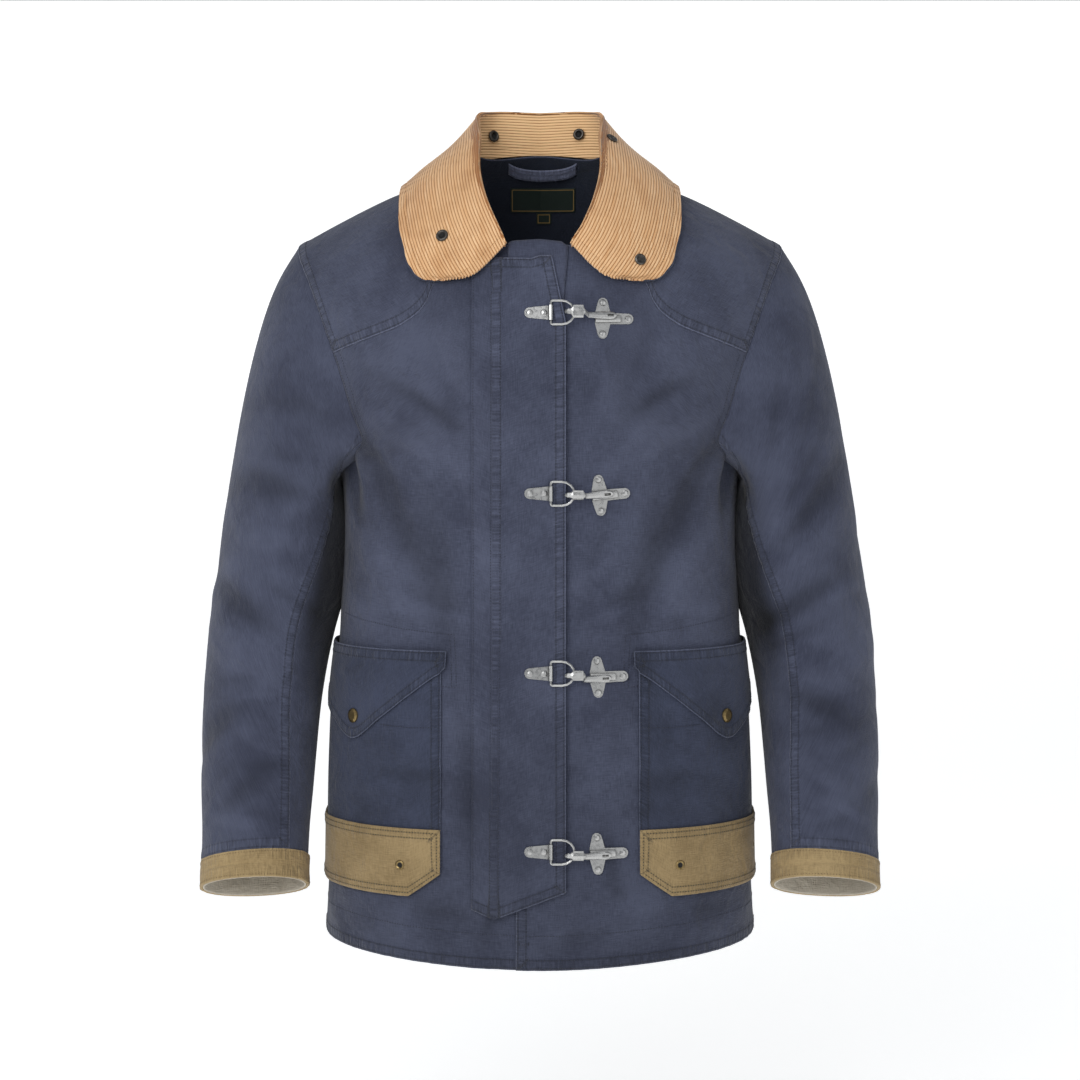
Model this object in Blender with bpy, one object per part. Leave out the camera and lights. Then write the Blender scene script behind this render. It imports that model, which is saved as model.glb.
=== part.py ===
"""Fireman jacket in its worn shape, with nobody in it.

Metres, +Z up. The front faces -Y and the wearer's left is +X. The origin is midway between the two
places where the wearer's shoulders carry the jacket.

The torso is one smooth skin, found from level sections and a dome over the shoulders. Every panel,
pocket and flap is a wall laid on a part of that skin, so layers never cross. The sleeves are tubes
lofted from the armholes through rings to the cuffs.
"""

import math
from collections import namedtuple

import bmesh
import bpy
import numpy as np
from mathutils import Matrix, Vector
from mathutils.bvhtree import BVHTree

# Driving dimensions, in metres.
CLOTH = 0.0018  # canvas wall, shell and its turned seams together
CORDUROY = 0.0025
UNDER_COLLAR = 0.0014
CUFF_WALL = 0.0030  # the khaki band is folded double
LINING = 0.0012
GAP = 0.0003  # between pieces that meet
LAYER = CLOTH + GAP  # how far each cloth layer lifts the next

HEM_HEIGHT = -0.733
HEM_SIDE_RISE = 0.013
UNDERARM = -0.262
DOME_FOOT = -0.160  # above this the torso rounds over the shoulders
DOME_ARC = 0.260  # length of that rounding, from chest to shoulder seam
DOME_TOP = DOME_FOOT + DOME_ARC
SHOULDER_SPREAD = 0.040
RIDGE_Y = 0.005
SQUARENESS = 2.5  # exponent of the section's outline; 2 would be an ellipse

FRONT_EDGE = 0.0225  # the left front laps this far past the centre
UNDER_EDGE = 0.018  # and the right front this far beneath it
UNDER_CLEAR = 0.0002  # more room for the faces of the two fronts, which aren't alike
FLAP_SEAM = -0.064
FLAP_EDGE = 0.024
FLAP_TOP = -0.067
FLAP_FOOT = ((FLAP_SEAM, -0.043, FLAP_EDGE), (-0.677, -0.6855, -0.6605))  # x, and heights there
FLAP_CORNER = (0.013, 0.045)  # width and height of the cut upper corner
FACING_TOP = -0.0493
FACING_CORNERS = ((-0.0300, -0.0530), (0.0262, -0.0560))  # x and height of its two upper corners
FACING_SIDE = 0.0255  # its left edge a row below
FACING_FOOT = -0.655
POCKET_EDGE = 0.0928
POCKET_TOP = -0.445
POCKET_FOOT = -0.667
BAND_TOP = -0.604
POCKET_PUFF = 0.003
POCKET_FLAP_EDGE = 0.0880
POCKET_FLAP_TOP = -0.4375
POCKET_FLAP_FEET = (-0.4527, -0.4590, -0.4790, -0.5030, -0.5246, -0.5105, -0.4930, -0.4750, -0.4550)
POCKET_FLAP_CLEAR = 0.0006  # more than a layer above the pocket
POCKET_FLAP_ROWS = 4
PUFF_FROM, PUFF_TO = math.radians(36), math.radians(101)  # round the body from the front centre
CHAMFER = 0.022  # height of the corner cut off a pocket's lower front

Section = namedtuple("Section", "height half_width front back")
SECTIONS = (
    Section(-0.745, 0.2130, 0.150, 0.140),
    Section(-0.700, 0.2110, 0.148, 0.137),
    Section(-0.660, 0.2085, 0.146, 0.134),
    Section(-0.550, 0.2040, 0.139, 0.122),
    Section(-0.470, 0.2010, 0.134, 0.113),
    Section(-0.415, 0.1965, 0.130, 0.108),
    Section(-0.340, 0.1935, 0.132, 0.115),
    Section(-0.262, 0.1965, 0.136, 0.124),
    Section(-0.210, 0.2080, 0.139, 0.128),
    Section(-0.160, 0.2225, 0.140, 0.130),
)

Ridge = namedtuple("Ridge", "x height")
SHOULDER_LINE = (
    Ridge(0.000, 0.080),
    Ridge(0.050, 0.062),
    Ridge(0.078, 0.048),
    Ridge(0.105, 0.028),
    Ridge(0.134, 0.008),
    Ridge(0.150, 0.001),
    Ridge(0.200, -0.024),
    Ridge(0.240, -0.046),
    Ridge(0.275, -0.066),
)

# Heights above DOME_FOOT count along the dome, so the shoulder seam is at DOME_TOP.
Armhole = namedtuple("Armhole", "height front_x back_x")
ARMHOLE = (
    Armhole(0.100, 0.2400, 0.2400),
    Armhole(0.009, 0.2366, 0.2300),
    Armhole(-0.053, 0.2250, 0.2140),
    Armhole(-0.107, 0.2120, 0.1990),
    Armhole(-0.154, 0.1990, 0.1880),
    Armhole(-0.188, 0.1884, 0.1820),
    Armhole(-0.215, 0.1808, 0.1790),
    Armhole(-0.240, 0.1730, 0.1770),
    Armhole(-0.252, 0.1790, 0.1810),
    Armhole(-0.262, 0.1965, 0.1965),
)
YOKE_FOOT = -0.154  # height at which the yoke seam meets the armhole

Seam = namedtuple("Seam", "x height")
FRONT_NECK = (
    Seam(0.0000, -0.0812),
    Seam(0.0285, -0.0812),
    Seam(0.0430, -0.0730),
    Seam(0.0600, -0.0520),
    Seam(0.0745, -0.0130),
)
SIDE_NECK = (
    Seam(0.0745, -0.0130),
    Seam(0.0785, 0.0257),
    Seam(0.0780, 0.1000),
)
YOKE_SEAM = (
    Seam(0.0745, -0.0130),
    Seam(0.0830, -0.0450),
    Seam(0.0930, -0.0780),
    Seam(0.1008, -0.0997),
    Seam(0.1100, -0.1170),
    Seam(0.1290, -0.1290),
    Seam(0.1520, -0.1370),
    Seam(0.1710, -0.1430),
    Seam(0.1990, YOKE_FOOT),
)
BACK_NECK = (
    Seam(0.0780, 0.1000),
    Seam(0.0550, 0.0420),
    Seam(0.0000, 0.0180),
)

# Lattice that the panels and what lies on them share.
CENTRE_LINES = (0.0, FLAP_EDGE, 0.048, 0.0745, POCKET_EDGE)
RIGHT_LINES = (0.0, -FRONT_EDGE, -0.043, FLAP_SEAM, -0.0745, -POCKET_EDGE)
SIDE_CELLS = 6
YOKE_CELLS = SIDE_CELLS + 1
BACK_CELLS = 10  # on each half
LEVELS = (-0.700, POCKET_FOOT, -0.6355, BAND_TOP, -0.565, -0.525, -0.485, POCKET_TOP, -0.415,
          -0.377, -0.339, -0.300, UNDERARM)
UPPER_ROWS = 6  # of a front above the underarm
YOKE_ROWS = 5
BACK_ROWS = 11  # of the back above the underarm
SEAM_ROWS_FRONT = 3  # rows of a front below the sleeve's front seam
SEAM_ROWS_BACK = 3

# Folds of the torso: place round the body in degrees from the front centre (+ is the wearer's
# left), height, length and width of the fold, depth (+ is a ridge), lean from upright in degrees.
Fold = namedtuple("Fold", "around height length width depth lean")
BODY_FOLDS = (
    Fold(52, -0.300, 0.070, 0.012, -0.0030, 30),
    Fold(60, -0.345, 0.060, 0.014, 0.0022, 38),
    Fold(-54, -0.295, 0.075, 0.013, -0.0032, -27),
    Fold(-63, -0.350, 0.055, 0.013, 0.0024, -40),
    Fold(40, -0.360, 0.090, 0.020, -0.0018, 12),
    Fold(-38, -0.370, 0.080, 0.018, -0.0020, -8),
    Fold(74, -0.560, 0.110, 0.022, 0.0030, 3),
    Fold(-76, -0.545, 0.120, 0.020, 0.0030, -4),
    Fold(120, -0.620, 0.110, 0.024, 0.0040, 5),
    Fold(-125, -0.610, 0.120, 0.026, 0.0040, -4),
    Fold(150, -0.640, 0.100, 0.025, -0.0035, 2),
    Fold(-148, -0.650, 0.100, 0.022, -0.0035, -3),
    Fold(128, -0.300, 0.080, 0.016, -0.0035, -32),
    Fold(-131, -0.290, 0.085, 0.017, -0.0035, 30),
    Fold(160, -0.430, 0.050, 0.018, 0.0025, 20),
    Fold(-165, -0.440, 0.060, 0.016, 0.0022, -24),
)
FOLD_GIRTH = 0.19  # radius at which degrees round the body become lengths

# Sleeve rings from the armhole to the cuff, for the left side. The outer and inner points lie on
# the side-on outline, the middle is shifted in y, and the front of the ring is tilted up. The
# armhole share is how much of the armhole's own outline is left, and the seams are in degrees
# round the ring from its outer point by way of the front.
Ring = namedtuple("Ring", "outer_x outer_z inner_x inner_z y depth tilt armhole front_seam back_seam")
SLEEVE_RINGS = (
    Ring(0.2400, -0.046, 0.1965, -0.262, 0.000, 0.086, 0, 1.00, 150, 222),
    Ring(0.2585, -0.078, 0.2030, -0.271, 0.000, 0.087, 0, 0.70, 152, 226),
    Ring(0.2725, -0.113, 0.2010, -0.282, -0.002, 0.085, 0, 0.45, 152, 224),
    Ring(0.2850, -0.158, 0.1985, -0.298, -0.004, 0.082, 0, 0.20, 149, 222),
    Ring(0.2960, -0.210, 0.1962, -0.320, -0.006, 0.080, 1, 0.05, 145, 222),
    Ring(0.3050, -0.262, 0.1950, -0.343, -0.006, 0.078, 2, 0.00, 139, 223),
    Ring(0.3130, -0.310, 0.1956, -0.370, -0.005, 0.076, 3, 0.00, 132, 224),
    Ring(0.3190, -0.355, 0.1985, -0.398, -0.004, 0.075, 4, 0.00, 125, 225),
    Ring(0.3255, -0.400, 0.2058, -0.429, -0.004, 0.073, 6, 0.00, 122, 226),
    Ring(0.3300, -0.445, 0.2125, -0.463, -0.008, 0.071, 10, 0.00, 123, 228),
    Ring(0.3320, -0.490, 0.2175, -0.500, -0.018, 0.067, 15, 0.00, 125, 230),
    Ring(0.3320, -0.535, 0.2200, -0.540, -0.034, 0.061, 20, 0.00, 128, 232),
    Ring(0.3300, -0.577, 0.2215, -0.576, -0.052, 0.054, 23, 0.00, 131, 234),
    Ring(0.3265, -0.615, 0.2230, -0.610, -0.070, 0.047, 24, 0.00, 133, 235),
    Ring(0.3250, -0.646, 0.2230, -0.638, -0.084, 0.042, 24, 0.00, 134, 236),
    Ring(0.3240, -0.668, 0.2218, -0.663, -0.096, 0.040, 25, 0.00, 134, 236),
)
RING_ROUND = 2.15  # exponent of a sleeve ring's outline
SLEEVE_GIRTH = 0.062  # radius at which degrees round the sleeve become lengths
RING_PITCH = 0.042  # typical distance between rings
CUFF_ROW = 14  # ring at which the khaki band starts
LINING_ROW = 12
CUFF_PROUD = 0.0012

SleeveFold = namedtuple("SleeveFold", "turn ring length width depth lean")
LEFT_SLEEVE_FOLDS = (
    SleeveFold(70, 5.2, 0.045, 0.012, -0.0035, 62),
    SleeveFold(100, 7.6, 0.050, 0.013, -0.0030, 70),
    SleeveFold(45, 9.3, 0.045, 0.014, 0.0030, 60),
    SleeveFold(95, 10.4, 0.040, 0.012, -0.0030, -64),
    SleeveFold(310, 8.6, 0.050, 0.016, -0.0035, 66),
    SleeveFold(280, 5.8, 0.050, 0.015, 0.0030, -60),
    SleeveFold(30, 12.2, 0.035, 0.012, -0.0022, 55),
)
RIGHT_SLEEVE_FOLDS = (
    SleeveFold(75, 4.8, 0.050, 0.012, -0.0035, -60),
    SleeveFold(60, 7.9, 0.045, 0.013, -0.0032, 66),
    SleeveFold(98, 9.4, 0.050, 0.014, 0.0030, 68),
    SleeveFold(50, 10.8, 0.040, 0.012, -0.0028, -60),
    SleeveFold(300, 8.2, 0.055, 0.016, -0.0035, -64),
    SleeveFold(265, 6.0, 0.045, 0.015, 0.0030, 62),
    SleeveFold(80, 12.4, 0.035, 0.012, -0.0022, -58),
)

# Collar stations from the centre back to the front end, on the left side. The neck seam and the
# leaf's edge are places on the skin, over the shoulder: x, and the height along the dome, which
# runs on past DOME_TOP down the back. The roll is the fold between stand and leaf.
Station = namedtuple("Station", "along neck_x neck_over roll_x roll_y roll_z edge_x edge_over edge_lift")
COLLAR = (
    Station(0.00, 0.0000, 0.1820, 0.0000, 0.073, 0.0960, 0.0000, 0.2280, 0.0065),
    Station(0.17, 0.0550, 0.1580, 0.0460, 0.059, 0.0955, 0.0700, 0.2080, 0.0065),
    Station(0.32, 0.0780, 0.1150, 0.0615, 0.018, 0.0870, 0.1190, 0.1660, 0.0065),
    Station(0.47, 0.0785, 0.0257, 0.0590, -0.045, 0.0560, 0.1330, 0.1000, 0.0075),
    Station(0.61, 0.0745, -0.0130, 0.0578, -0.085, 0.0230, 0.1335, -0.0100, 0.0075),
    Station(0.76, 0.0600, -0.0520, 0.0498, -0.115, -0.0098, 0.1275, -0.0540, 0.0065),
    Station(0.88, 0.0440, -0.0715, 0.0392, -0.128, -0.0350, 0.1210, -0.0780, 0.0070),
    Station(0.95, 0.0370, -0.0780, 0.0345, -0.131, -0.0455, 0.1085, -0.0940, 0.0075),
    Station(1.00, 0.0322, -0.0812, 0.0315, -0.132, -0.0525, 0.0890, -0.1000, 0.0085),
)
COLLAR_SEAT = 0.0013  # neck seam above the skin
LEAF_LIFT = 0.0105  # half-way down the leaf
LEAF_DIP = 0.0100  # how far the leaf's front end bows down between the tip and the corner
LEFT_TIP_IN = 0.0030  # the left tip lies nearer the centre than the right one
TIP_FROM = 0.86  # share of the collar at which both begin
COLLAR_KEYS = (0.0, 0.15, 0.30, 0.65, 1.0)  # seam, stand, roll, leaf and edge, across the collar
COLLAR_ACROSS = (0.0, 0.10, 0.20, 0.27, 0.33, 0.40, 0.52, 0.68, 0.84, 1.0)
COLLAR_ALONG = (0.0, 0.10, 0.19, 0.27, 0.34, 0.41, 0.48, 0.55, 0.62, 0.70, 0.78, 0.86, 0.92, 0.96, 1.0)
LEAF_FROM = 6  # first line of COLLAR_ACROSS that the under collar has
UNDER_SHOWS = 0.018  # share of the collar by which the under collar passes its edge

# Clasps from the top: height of the dee plate, place of the hook plate's upright arms, how far
# that plate sits lower and its lean in degrees, the height of the hook's nose above the dee's
# middle and of its tail above the hook plate's, and the half height of its spring gate.
Clasp = namedtuple("Clasp", "height hook_x drop lean nose tail gate")
CLASPS = (
    Clasp(-0.1195, 0.0588, 0.0047, 1, 0.0008, 0.0026, 0.0060),
    Clasp(-0.2880, 0.0559, 0.0024, -5, -0.0011, 0.0010, 0.0044),
    Clasp(-0.4575, 0.0541, 0.0038, -2, -0.0018, -0.0014, 0.0046),
    Clasp(-0.6225, 0.0536, 0.0028, -2, -0.0030, -0.0014, 0.0044),
)
PLATE = 0.0012
RIVET_RADIUS = 0.0033
RIVET_RISE = 0.0011
RIVET_SIDES = 10
DEE_X = 0.0101
DEE_HALF_HEIGHT = 0.0112
DEE_BOW_X = 0.0322
DEE_RADIUS = 0.0011
BARREL_RADIUS = 0.0021
BORE_RADIUS = 0.0014
BARREL_LENGTH = 0.0142
HOOK_OUT = BARREL_RADIUS + DEE_RADIUS + GAP + 0.0015  # axis of the hook where it crosses the dee
TUNNEL_RADIUS = 0.0042  # the hook plate is raised along its arm
TUNNEL_RISE = 0.0024

# The snap hook from its nose to the bow it crosses, beside the dee plate, then to its slotted
# end, over the hook plate. Tall and thick are half sizes.
Bar = namedtuple("Bar", "x out tall thick")
HOOK_NOSE = (
    Bar(0.0262, 0.0009, 0.0009, 0.0006),
    Bar(0.0247, 0.0019, 0.0015, 0.0010),
    Bar(0.0243, 0.0036, 0.0020, 0.0012),
    Bar(0.0258, 0.0050, 0.0024, 0.0013),
    Bar(0.0290, HOOK_OUT, 0.0028, 0.0014),
)
HOOK_GATE = (0.0310, 0.0405)
HOOK_TAIL = (
    Bar(-0.0140, 0.0022, 0.0027, 0.0014),
    Bar(-0.0010, 0.0017, 0.0034, 0.0014),
    Bar(0.0070, 0.0015, 0.0036, 0.0012),
    Bar(0.0105, 0.0014, 0.0029, 0.0010),
    Bar(0.0124, 0.0013, 0.0012, 0.0008),
)
HOOK_SIDES = 8

# Studs of the collar: share along it from the right end to the left, and from seam to edge.
Stud = namedtuple("Stud", "name along across")
COLLAR_STUDS = (
    Stud("collar_stud_1", -0.160, 0.14),
    Stud("collar_stud_2", 0.130, 0.15),
    Stud("collar_stud_3", 0.450, 0.42),
    Stud("collar_stud_4", -0.810, 0.65),
    Stud("collar_stud_5", 0.905, 0.77),
)
COLLAR_STUD = ((0.0056, 0.0), (0.0056, 0.0010), (0.0042, 0.0019), (0.0022, 0.0016))
POCKET_STUD = ((0.0070, 0.0), (0.0068, 0.0012), (0.0045, 0.0022))
POCKET_STUD_X, POCKET_STUD_Z = 0.1735, -0.5030
EYELETS = ((0.1300, -0.6385), (0.2000, -0.6330))
EYELET_RADIUS = 0.0032
EYELET_WIRE = 0.0011

LABEL = 0.0008
LOOP_LEFT, LOOP_RIGHT = -0.0330, 0.0385
LOOP_TOP = 0.0385
LOOP_WIDTH = 0.0115
LOOP_THICK = 0.0013
LOOP_BOW = 0.0085

NAVY = (0.066, 0.074, 0.118)
KHAKI = (0.29, 0.20, 0.10)
TAN = (0.64, 0.40, 0.22)
STEEL = (0.58, 0.59, 0.60)
BRASS = (0.30, 0.21, 0.10)
DARK_METAL = (0.08, 0.07, 0.065)
GREY = (0.50, 0.48, 0.45)
LABEL_GREEN = (0.02, 0.05, 0.035)


def clear_scene():
    for thing in list(bpy.data.objects):
        bpy.data.objects.remove(thing, do_unlink=True)


def new_collection(name, hidden=False):
    collection = bpy.data.collections.new(name)
    bpy.context.scene.collection.children.link(collection)
    collection.hide_render = hidden
    return collection


def new_material(name, colour, roughness, metallic=0.0):
    material = bpy.data.materials.new(name)
    material.use_nodes = True
    shader = material.node_tree.nodes["Principled BSDF"]
    shader.inputs["Base Color"].default_value = (*colour, 1.0)
    shader.inputs["Roughness"].default_value = roughness
    shader.inputs["Metallic"].default_value = metallic
    return material


# ---------------------------------------------------------------- curves and tables


def column(rows, name):
    return np.array([getattr(row, name) for row in rows])


def smooth(keys, values, at):
    """Values at the given keys, on a smooth curve through the rows."""
    keys = np.asarray(keys, float)
    values = np.asarray(values, float)
    at = np.asarray(at, float)
    slopes = np.gradient(values, keys, axis=0)
    row = np.clip(np.searchsorted(keys, at, side="right") - 1, 0, len(keys) - 2)
    span = keys[row + 1] - keys[row]
    t = (at - keys[row]) / span
    if values.ndim > 1:
        t = t[..., None]
        span = span[..., None]
    start = values[row] * (1 + 2 * t) * (1 - t) ** 2 + slopes[row] * span * t * (1 - t) ** 2
    end = values[row + 1] * t * t * (3 - 2 * t) + slopes[row + 1] * span * t * t * (t - 1)
    return start + end


def ease(value, start, end):
    """0 before start, 1 after end, smooth between."""
    t = np.clip((value - start) / (end - start), 0.0, 1.0)
    return t * t * (3 - 2 * t)


def unit(vectors):
    return vectors / np.linalg.norm(vectors, axis=-1, keepdims=True)


# ---------------------------------------------------------------- the torso's skin


def half_sizes(height):
    """Half width, front depth and back depth of the torso at a height."""
    level = np.minimum(height, DOME_FOOT)
    heights = column(SECTIONS, "height")
    rise = np.clip((height - DOME_FOOT) / DOME_ARC, 0, 1) * math.pi / 2
    wide = smooth(heights, column(SECTIONS, "half_width"), level) + SHOULDER_SPREAD * np.sin(rise)
    front = smooth(heights, column(SECTIONS, "front"), level)
    back = smooth(heights, column(SECTIONS, "back"), level)
    return wide, front, back


def skin(around, height):
    """Points of the torso's smooth skin, around in radians from the front centre to the left."""
    around, height = np.broadcast_arrays(np.asarray(around, float), np.asarray(height, float))
    wide, front, back = half_sizes(height)
    deep = np.where(np.abs(around) < math.pi / 2, front, back)
    sine, cosine = np.sin(around), np.cos(around)
    outline = np.abs(sine / wide) ** SQUARENESS + np.abs(cosine / deep) ** SQUARENESS
    reach = outline ** (-1 / SQUARENESS)
    x, y = reach * sine, -reach * cosine
    rise = np.clip((height - DOME_FOOT) / DOME_ARC, 0, 1) * math.pi / 2
    ridge = smooth(column(SHOULDER_LINE, "x"), column(SHOULDER_LINE, "height"), np.abs(x))
    over = height > DOME_FOOT
    z = np.where(over, DOME_FOOT + (ridge - DOME_FOOT) * np.sin(rise), height)
    y = np.where(over, RIDGE_Y + (y - RIDGE_Y) * np.cos(rise), y)
    return np.stack([x, y, z], axis=-1)


def skin_normal(around, height):
    around, height = np.broadcast_arrays(np.asarray(around, float), np.asarray(height, float))
    step = 1e-4
    below = np.minimum(height, DOME_TOP - 4 * step)
    turn = skin(around + step, below) - skin(around - step, below)
    climb = skin(around, below + step) - skin(around, below - step)
    return unit(np.cross(turn, climb))


def body_folds(around, height):
    total = np.zeros(np.broadcast(around, height).shape)
    for fold in BODY_FOLDS:
        sideways = (around - math.radians(fold.around)) * FOLD_GIRTH
        up = height - fold.height
        lean = math.radians(fold.lean)
        across = sideways * math.cos(lean) - up * math.sin(lean)
        along = sideways * math.sin(lean) + up * math.cos(lean)
        total = total + fold.depth * np.exp(-((across / fold.width) ** 2 + (along / fold.length) ** 2))
    return total


def on_skin(around, height, lift):
    """Points a given lift above the folded skin, and the same lift's normals."""
    normal = skin_normal(around, height)
    raised = np.asarray(lift + body_folds(around, height))
    return skin(around, height) + normal * raised[..., None], normal


def around_at(x, height, back=False):
    """How far round the body the skin has this x, in radians with x's sign."""
    wide, front, rear = half_sizes(height)
    share = np.clip(np.abs(x) / wide, 0, 1)
    depth = (rear if back else front) * (1 - share**SQUARENESS) ** (1 / SQUARENESS)
    turn = np.arctan2(np.abs(x), depth)
    turn = math.pi - turn if back else turn
    return np.where(np.asarray(x) < 0, -turn, turn)


def height_at(x, z):
    """Height along the dome at which the skin has this z."""
    ridge = smooth(column(SHOULDER_LINE, "x"), column(SHOULDER_LINE, "height"), np.abs(x))
    climb = np.clip((z - DOME_FOOT) / (ridge - DOME_FOOT), 0, 1)
    return np.where(z > DOME_FOOT, DOME_FOOT + DOME_ARC * np.arcsin(climb) / (math.pi / 2), z)


def over_shoulder(x, over):
    """Place round and up the skin for an x, and a height that runs on over the shoulder."""
    height = np.where(over > DOME_TOP, 2 * DOME_TOP - over, over)
    around = np.where(over > DOME_TOP, around_at(x, height, True), around_at(x, height))
    return around, height


def seam_path(rows, shares, back=False):
    """Places (around, height) along a seam that a table gives as x and height."""
    heights = column(rows, "height")
    around = around_at(column(rows, "x"), heights, back)
    points = skin(around, heights)
    steps = np.linalg.norm(np.diff(points, axis=0), axis=1)
    keys = np.concatenate([[0], np.cumsum(steps)]) / steps.sum()
    return smooth(keys, np.stack([around, heights], axis=-1), shares)


def armhole_path(shares, back=False):
    """Places along the armhole, from the shoulder point at 0 to the underarm at 1."""
    name = "back_x" if back else "front_x"
    rows = [Seam(getattr(row, name), row.height) for row in ARMHOLE]
    return seam_path(rows, shares, back)


def yoke_junction():
    """Where along the front armhole, from the top, the yoke seam meets it."""
    shares = np.linspace(0, 1, 400)
    heights = armhole_path(shares)[:, 1]
    return float(np.interp(-YOKE_FOOT, -heights, shares))


def yoke_shares():
    """Places of the yoke's rows along the front armhole, from the top down."""
    return yoke_junction() * np.linspace(0, 1, YOKE_ROWS + 1)


def front_shares():
    """Places of a front's upper rows along the armhole, from the yoke seam down."""
    junction = yoke_junction()
    return junction + (1 - junction) * np.linspace(0, 1, UPPER_ROWS + 1)


def coons(bottom, top, left, right):
    """Grid between four edges: bottom and top by column, left and right by row."""
    rows, columns = len(left), len(bottom)
    v = np.linspace(0, 1, rows)[:, None, None]
    u = np.linspace(0, 1, columns)[None, :, None]
    ruled = (1 - v) * bottom[None] + v * top[None] + (1 - u) * left[:, None] + u * right[:, None]
    corners = (
        (1 - v) * ((1 - u) * bottom[0] + u * bottom[-1]) + v * ((1 - u) * top[0] + u * top[-1])
    )
    return ruled - corners


def hem(around):
    return HEM_HEIGHT + HEM_SIDE_RISE * np.sin(around) ** 2


# ---------------------------------------------------------------- walls from grids of points


def add_wall(name, outer, inner, material, closed=False):
    """Closed wall between two grids of points, rows by columns."""
    rows, columns = outer.shape[:2]
    mesh = bpy.data.meshes.new(name)
    count = rows * columns

    def at(row, col, inside=False):
        return row * columns + col % columns + (count if inside else 0)

    faces = []
    last = columns if closed else columns - 1
    for row in range(rows - 1):
        for col in range(last):
            near, far = at(row, col), at(row + 1, col + 1)
            # The same diagonal in every layer keeps layers that share a lattice apart.
            for face in ([near, at(row, col + 1), far], [near, far, at(row + 1, col)]):
                faces.append(face)
                faces.append([index + count for index in reversed(face)])
    for col in range(last):
        for row in (0, rows - 1):
            faces.append([at(row, col), at(row, col + 1), at(row, col + 1, True), at(row, col, True)])
    if not closed:
        for row in range(rows - 1):
            for col in (0, columns - 1):
                faces.append([at(row, col), at(row + 1, col), at(row + 1, col, True), at(row, col, True)])
    points = np.concatenate([outer.reshape(-1, 3), inner.reshape(-1, 3)])
    mesh.from_pydata(points.tolist(), [], faces)
    shape = bmesh.new()
    shape.from_mesh(mesh)
    bmesh.ops.recalc_face_normals(shape, faces=shape.faces)
    if shape.calc_volume(signed=True) < 0:
        bmesh.ops.reverse_faces(shape, faces=shape.faces)
    shape.to_mesh(mesh)
    shape.free()
    mesh.shade_smooth()
    mesh.set_sharp_from_angle(angle=math.radians(40))
    mesh.materials.append(material)
    made = bpy.data.objects.new(name, mesh)
    jacket.objects.link(made)
    return made


def skin_wall(name, places, lift, thickness, material):
    """Wall on the torso, its outer face a given lift above the skin."""
    around, height = places[..., 0], places[..., 1]
    outer, normal = on_skin(around, height, lift)
    return add_wall(name, outer, outer - normal * thickness, material)


# ---------------------------------------------------------------- fronts, yokes and back


def side_shares():
    return np.linspace(0, 1, SIDE_CELLS + 1)[1:]


def front_columns(lines, side, height):
    """Places of the front's columns at one height: upright lines, then a fan to the side seam."""
    inner = around_at(np.array(lines), height)
    seam = side * (math.pi / 2 - GAP / 2 / SECTIONS[0].half_width)
    return np.concatenate([inner, inner[-1] + (seam - inner[-1]) * side_shares()])


def front_top(lines, side):
    """Places along the top of a front: the neckline, then the yoke seam."""
    neck = [row for row in FRONT_NECK[1:]]
    seam = seam_path(YOKE_SEAM, np.linspace(0, 1, 60))
    seam_x = np.abs(skin(seam[:, 0], seam[:, 1])[:, 0])
    places = []
    for x in np.abs(lines):
        if x <= FRONT_NECK[1].x:
            height = FRONT_NECK[1].height
        elif x <= neck[-1].x:
            height = float(smooth(column(neck, "x"), column(neck, "height"), x))
        else:
            height = float(np.interp(x, seam_x, seam[:, 1]))
        places.append((float(around_at(x, height)), height))
    places = np.array(places)
    places[:, 0] *= np.where(np.asarray(lines) < 0, -1, 1)
    start = float(np.interp(abs(lines[-1]), seam_x, np.linspace(0, 1, 60)))
    rest = seam_path(YOKE_SEAM, start + (1 - start) * side_shares())
    rest[:, 0] *= side
    top = np.concatenate([places, rest])
    top[:, 1] -= GAP / 2
    return top


def front_places(lines, side):
    columns = len(lines) + SIDE_CELLS
    lower = []
    base = front_columns(lines, side, LEVELS[0])
    lower.append(np.stack([base, hem(base)], axis=-1))
    for level in LEVELS:
        lower.append(np.stack([front_columns(lines, side, level), np.full(columns, level)], axis=-1))
    bottom, top = lower[-1], front_top(lines, side)
    shares = np.linspace(0, 1, UPPER_ROWS + 1)
    heights = bottom[0, 1] + (top[0, 1] - bottom[0, 1]) * shares
    left = np.stack([around_at(np.full(len(shares), lines[0]), heights), heights], axis=-1)
    right = armhole_path(front_shares()[::-1])
    right[:, 0] *= side
    right[0], right[-1] = bottom[-1], top[-1]
    upper = coons(bottom, top, left, right)
    return np.concatenate([np.array(lower), upper[1:]])


def under_lift(around, height):
    """The right front sinks one layer where the left front and the placket cover it."""
    x = skin(around, height)[..., 0]
    return -(LAYER + UNDER_CLEAR) * ease(x, FLAP_SEAM + 0.004, -0.040)


def add_fronts(navy):
    left = front_places((-FRONT_EDGE, *CENTRE_LINES), 1)
    skin_wall("front_left", left, 0.0, CLOTH, navy)
    right = front_places((UNDER_EDGE, *RIGHT_LINES), -1)
    skin_wall("front_right", right, under_lift(right[..., 0], right[..., 1]), CLOTH, navy)


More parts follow.
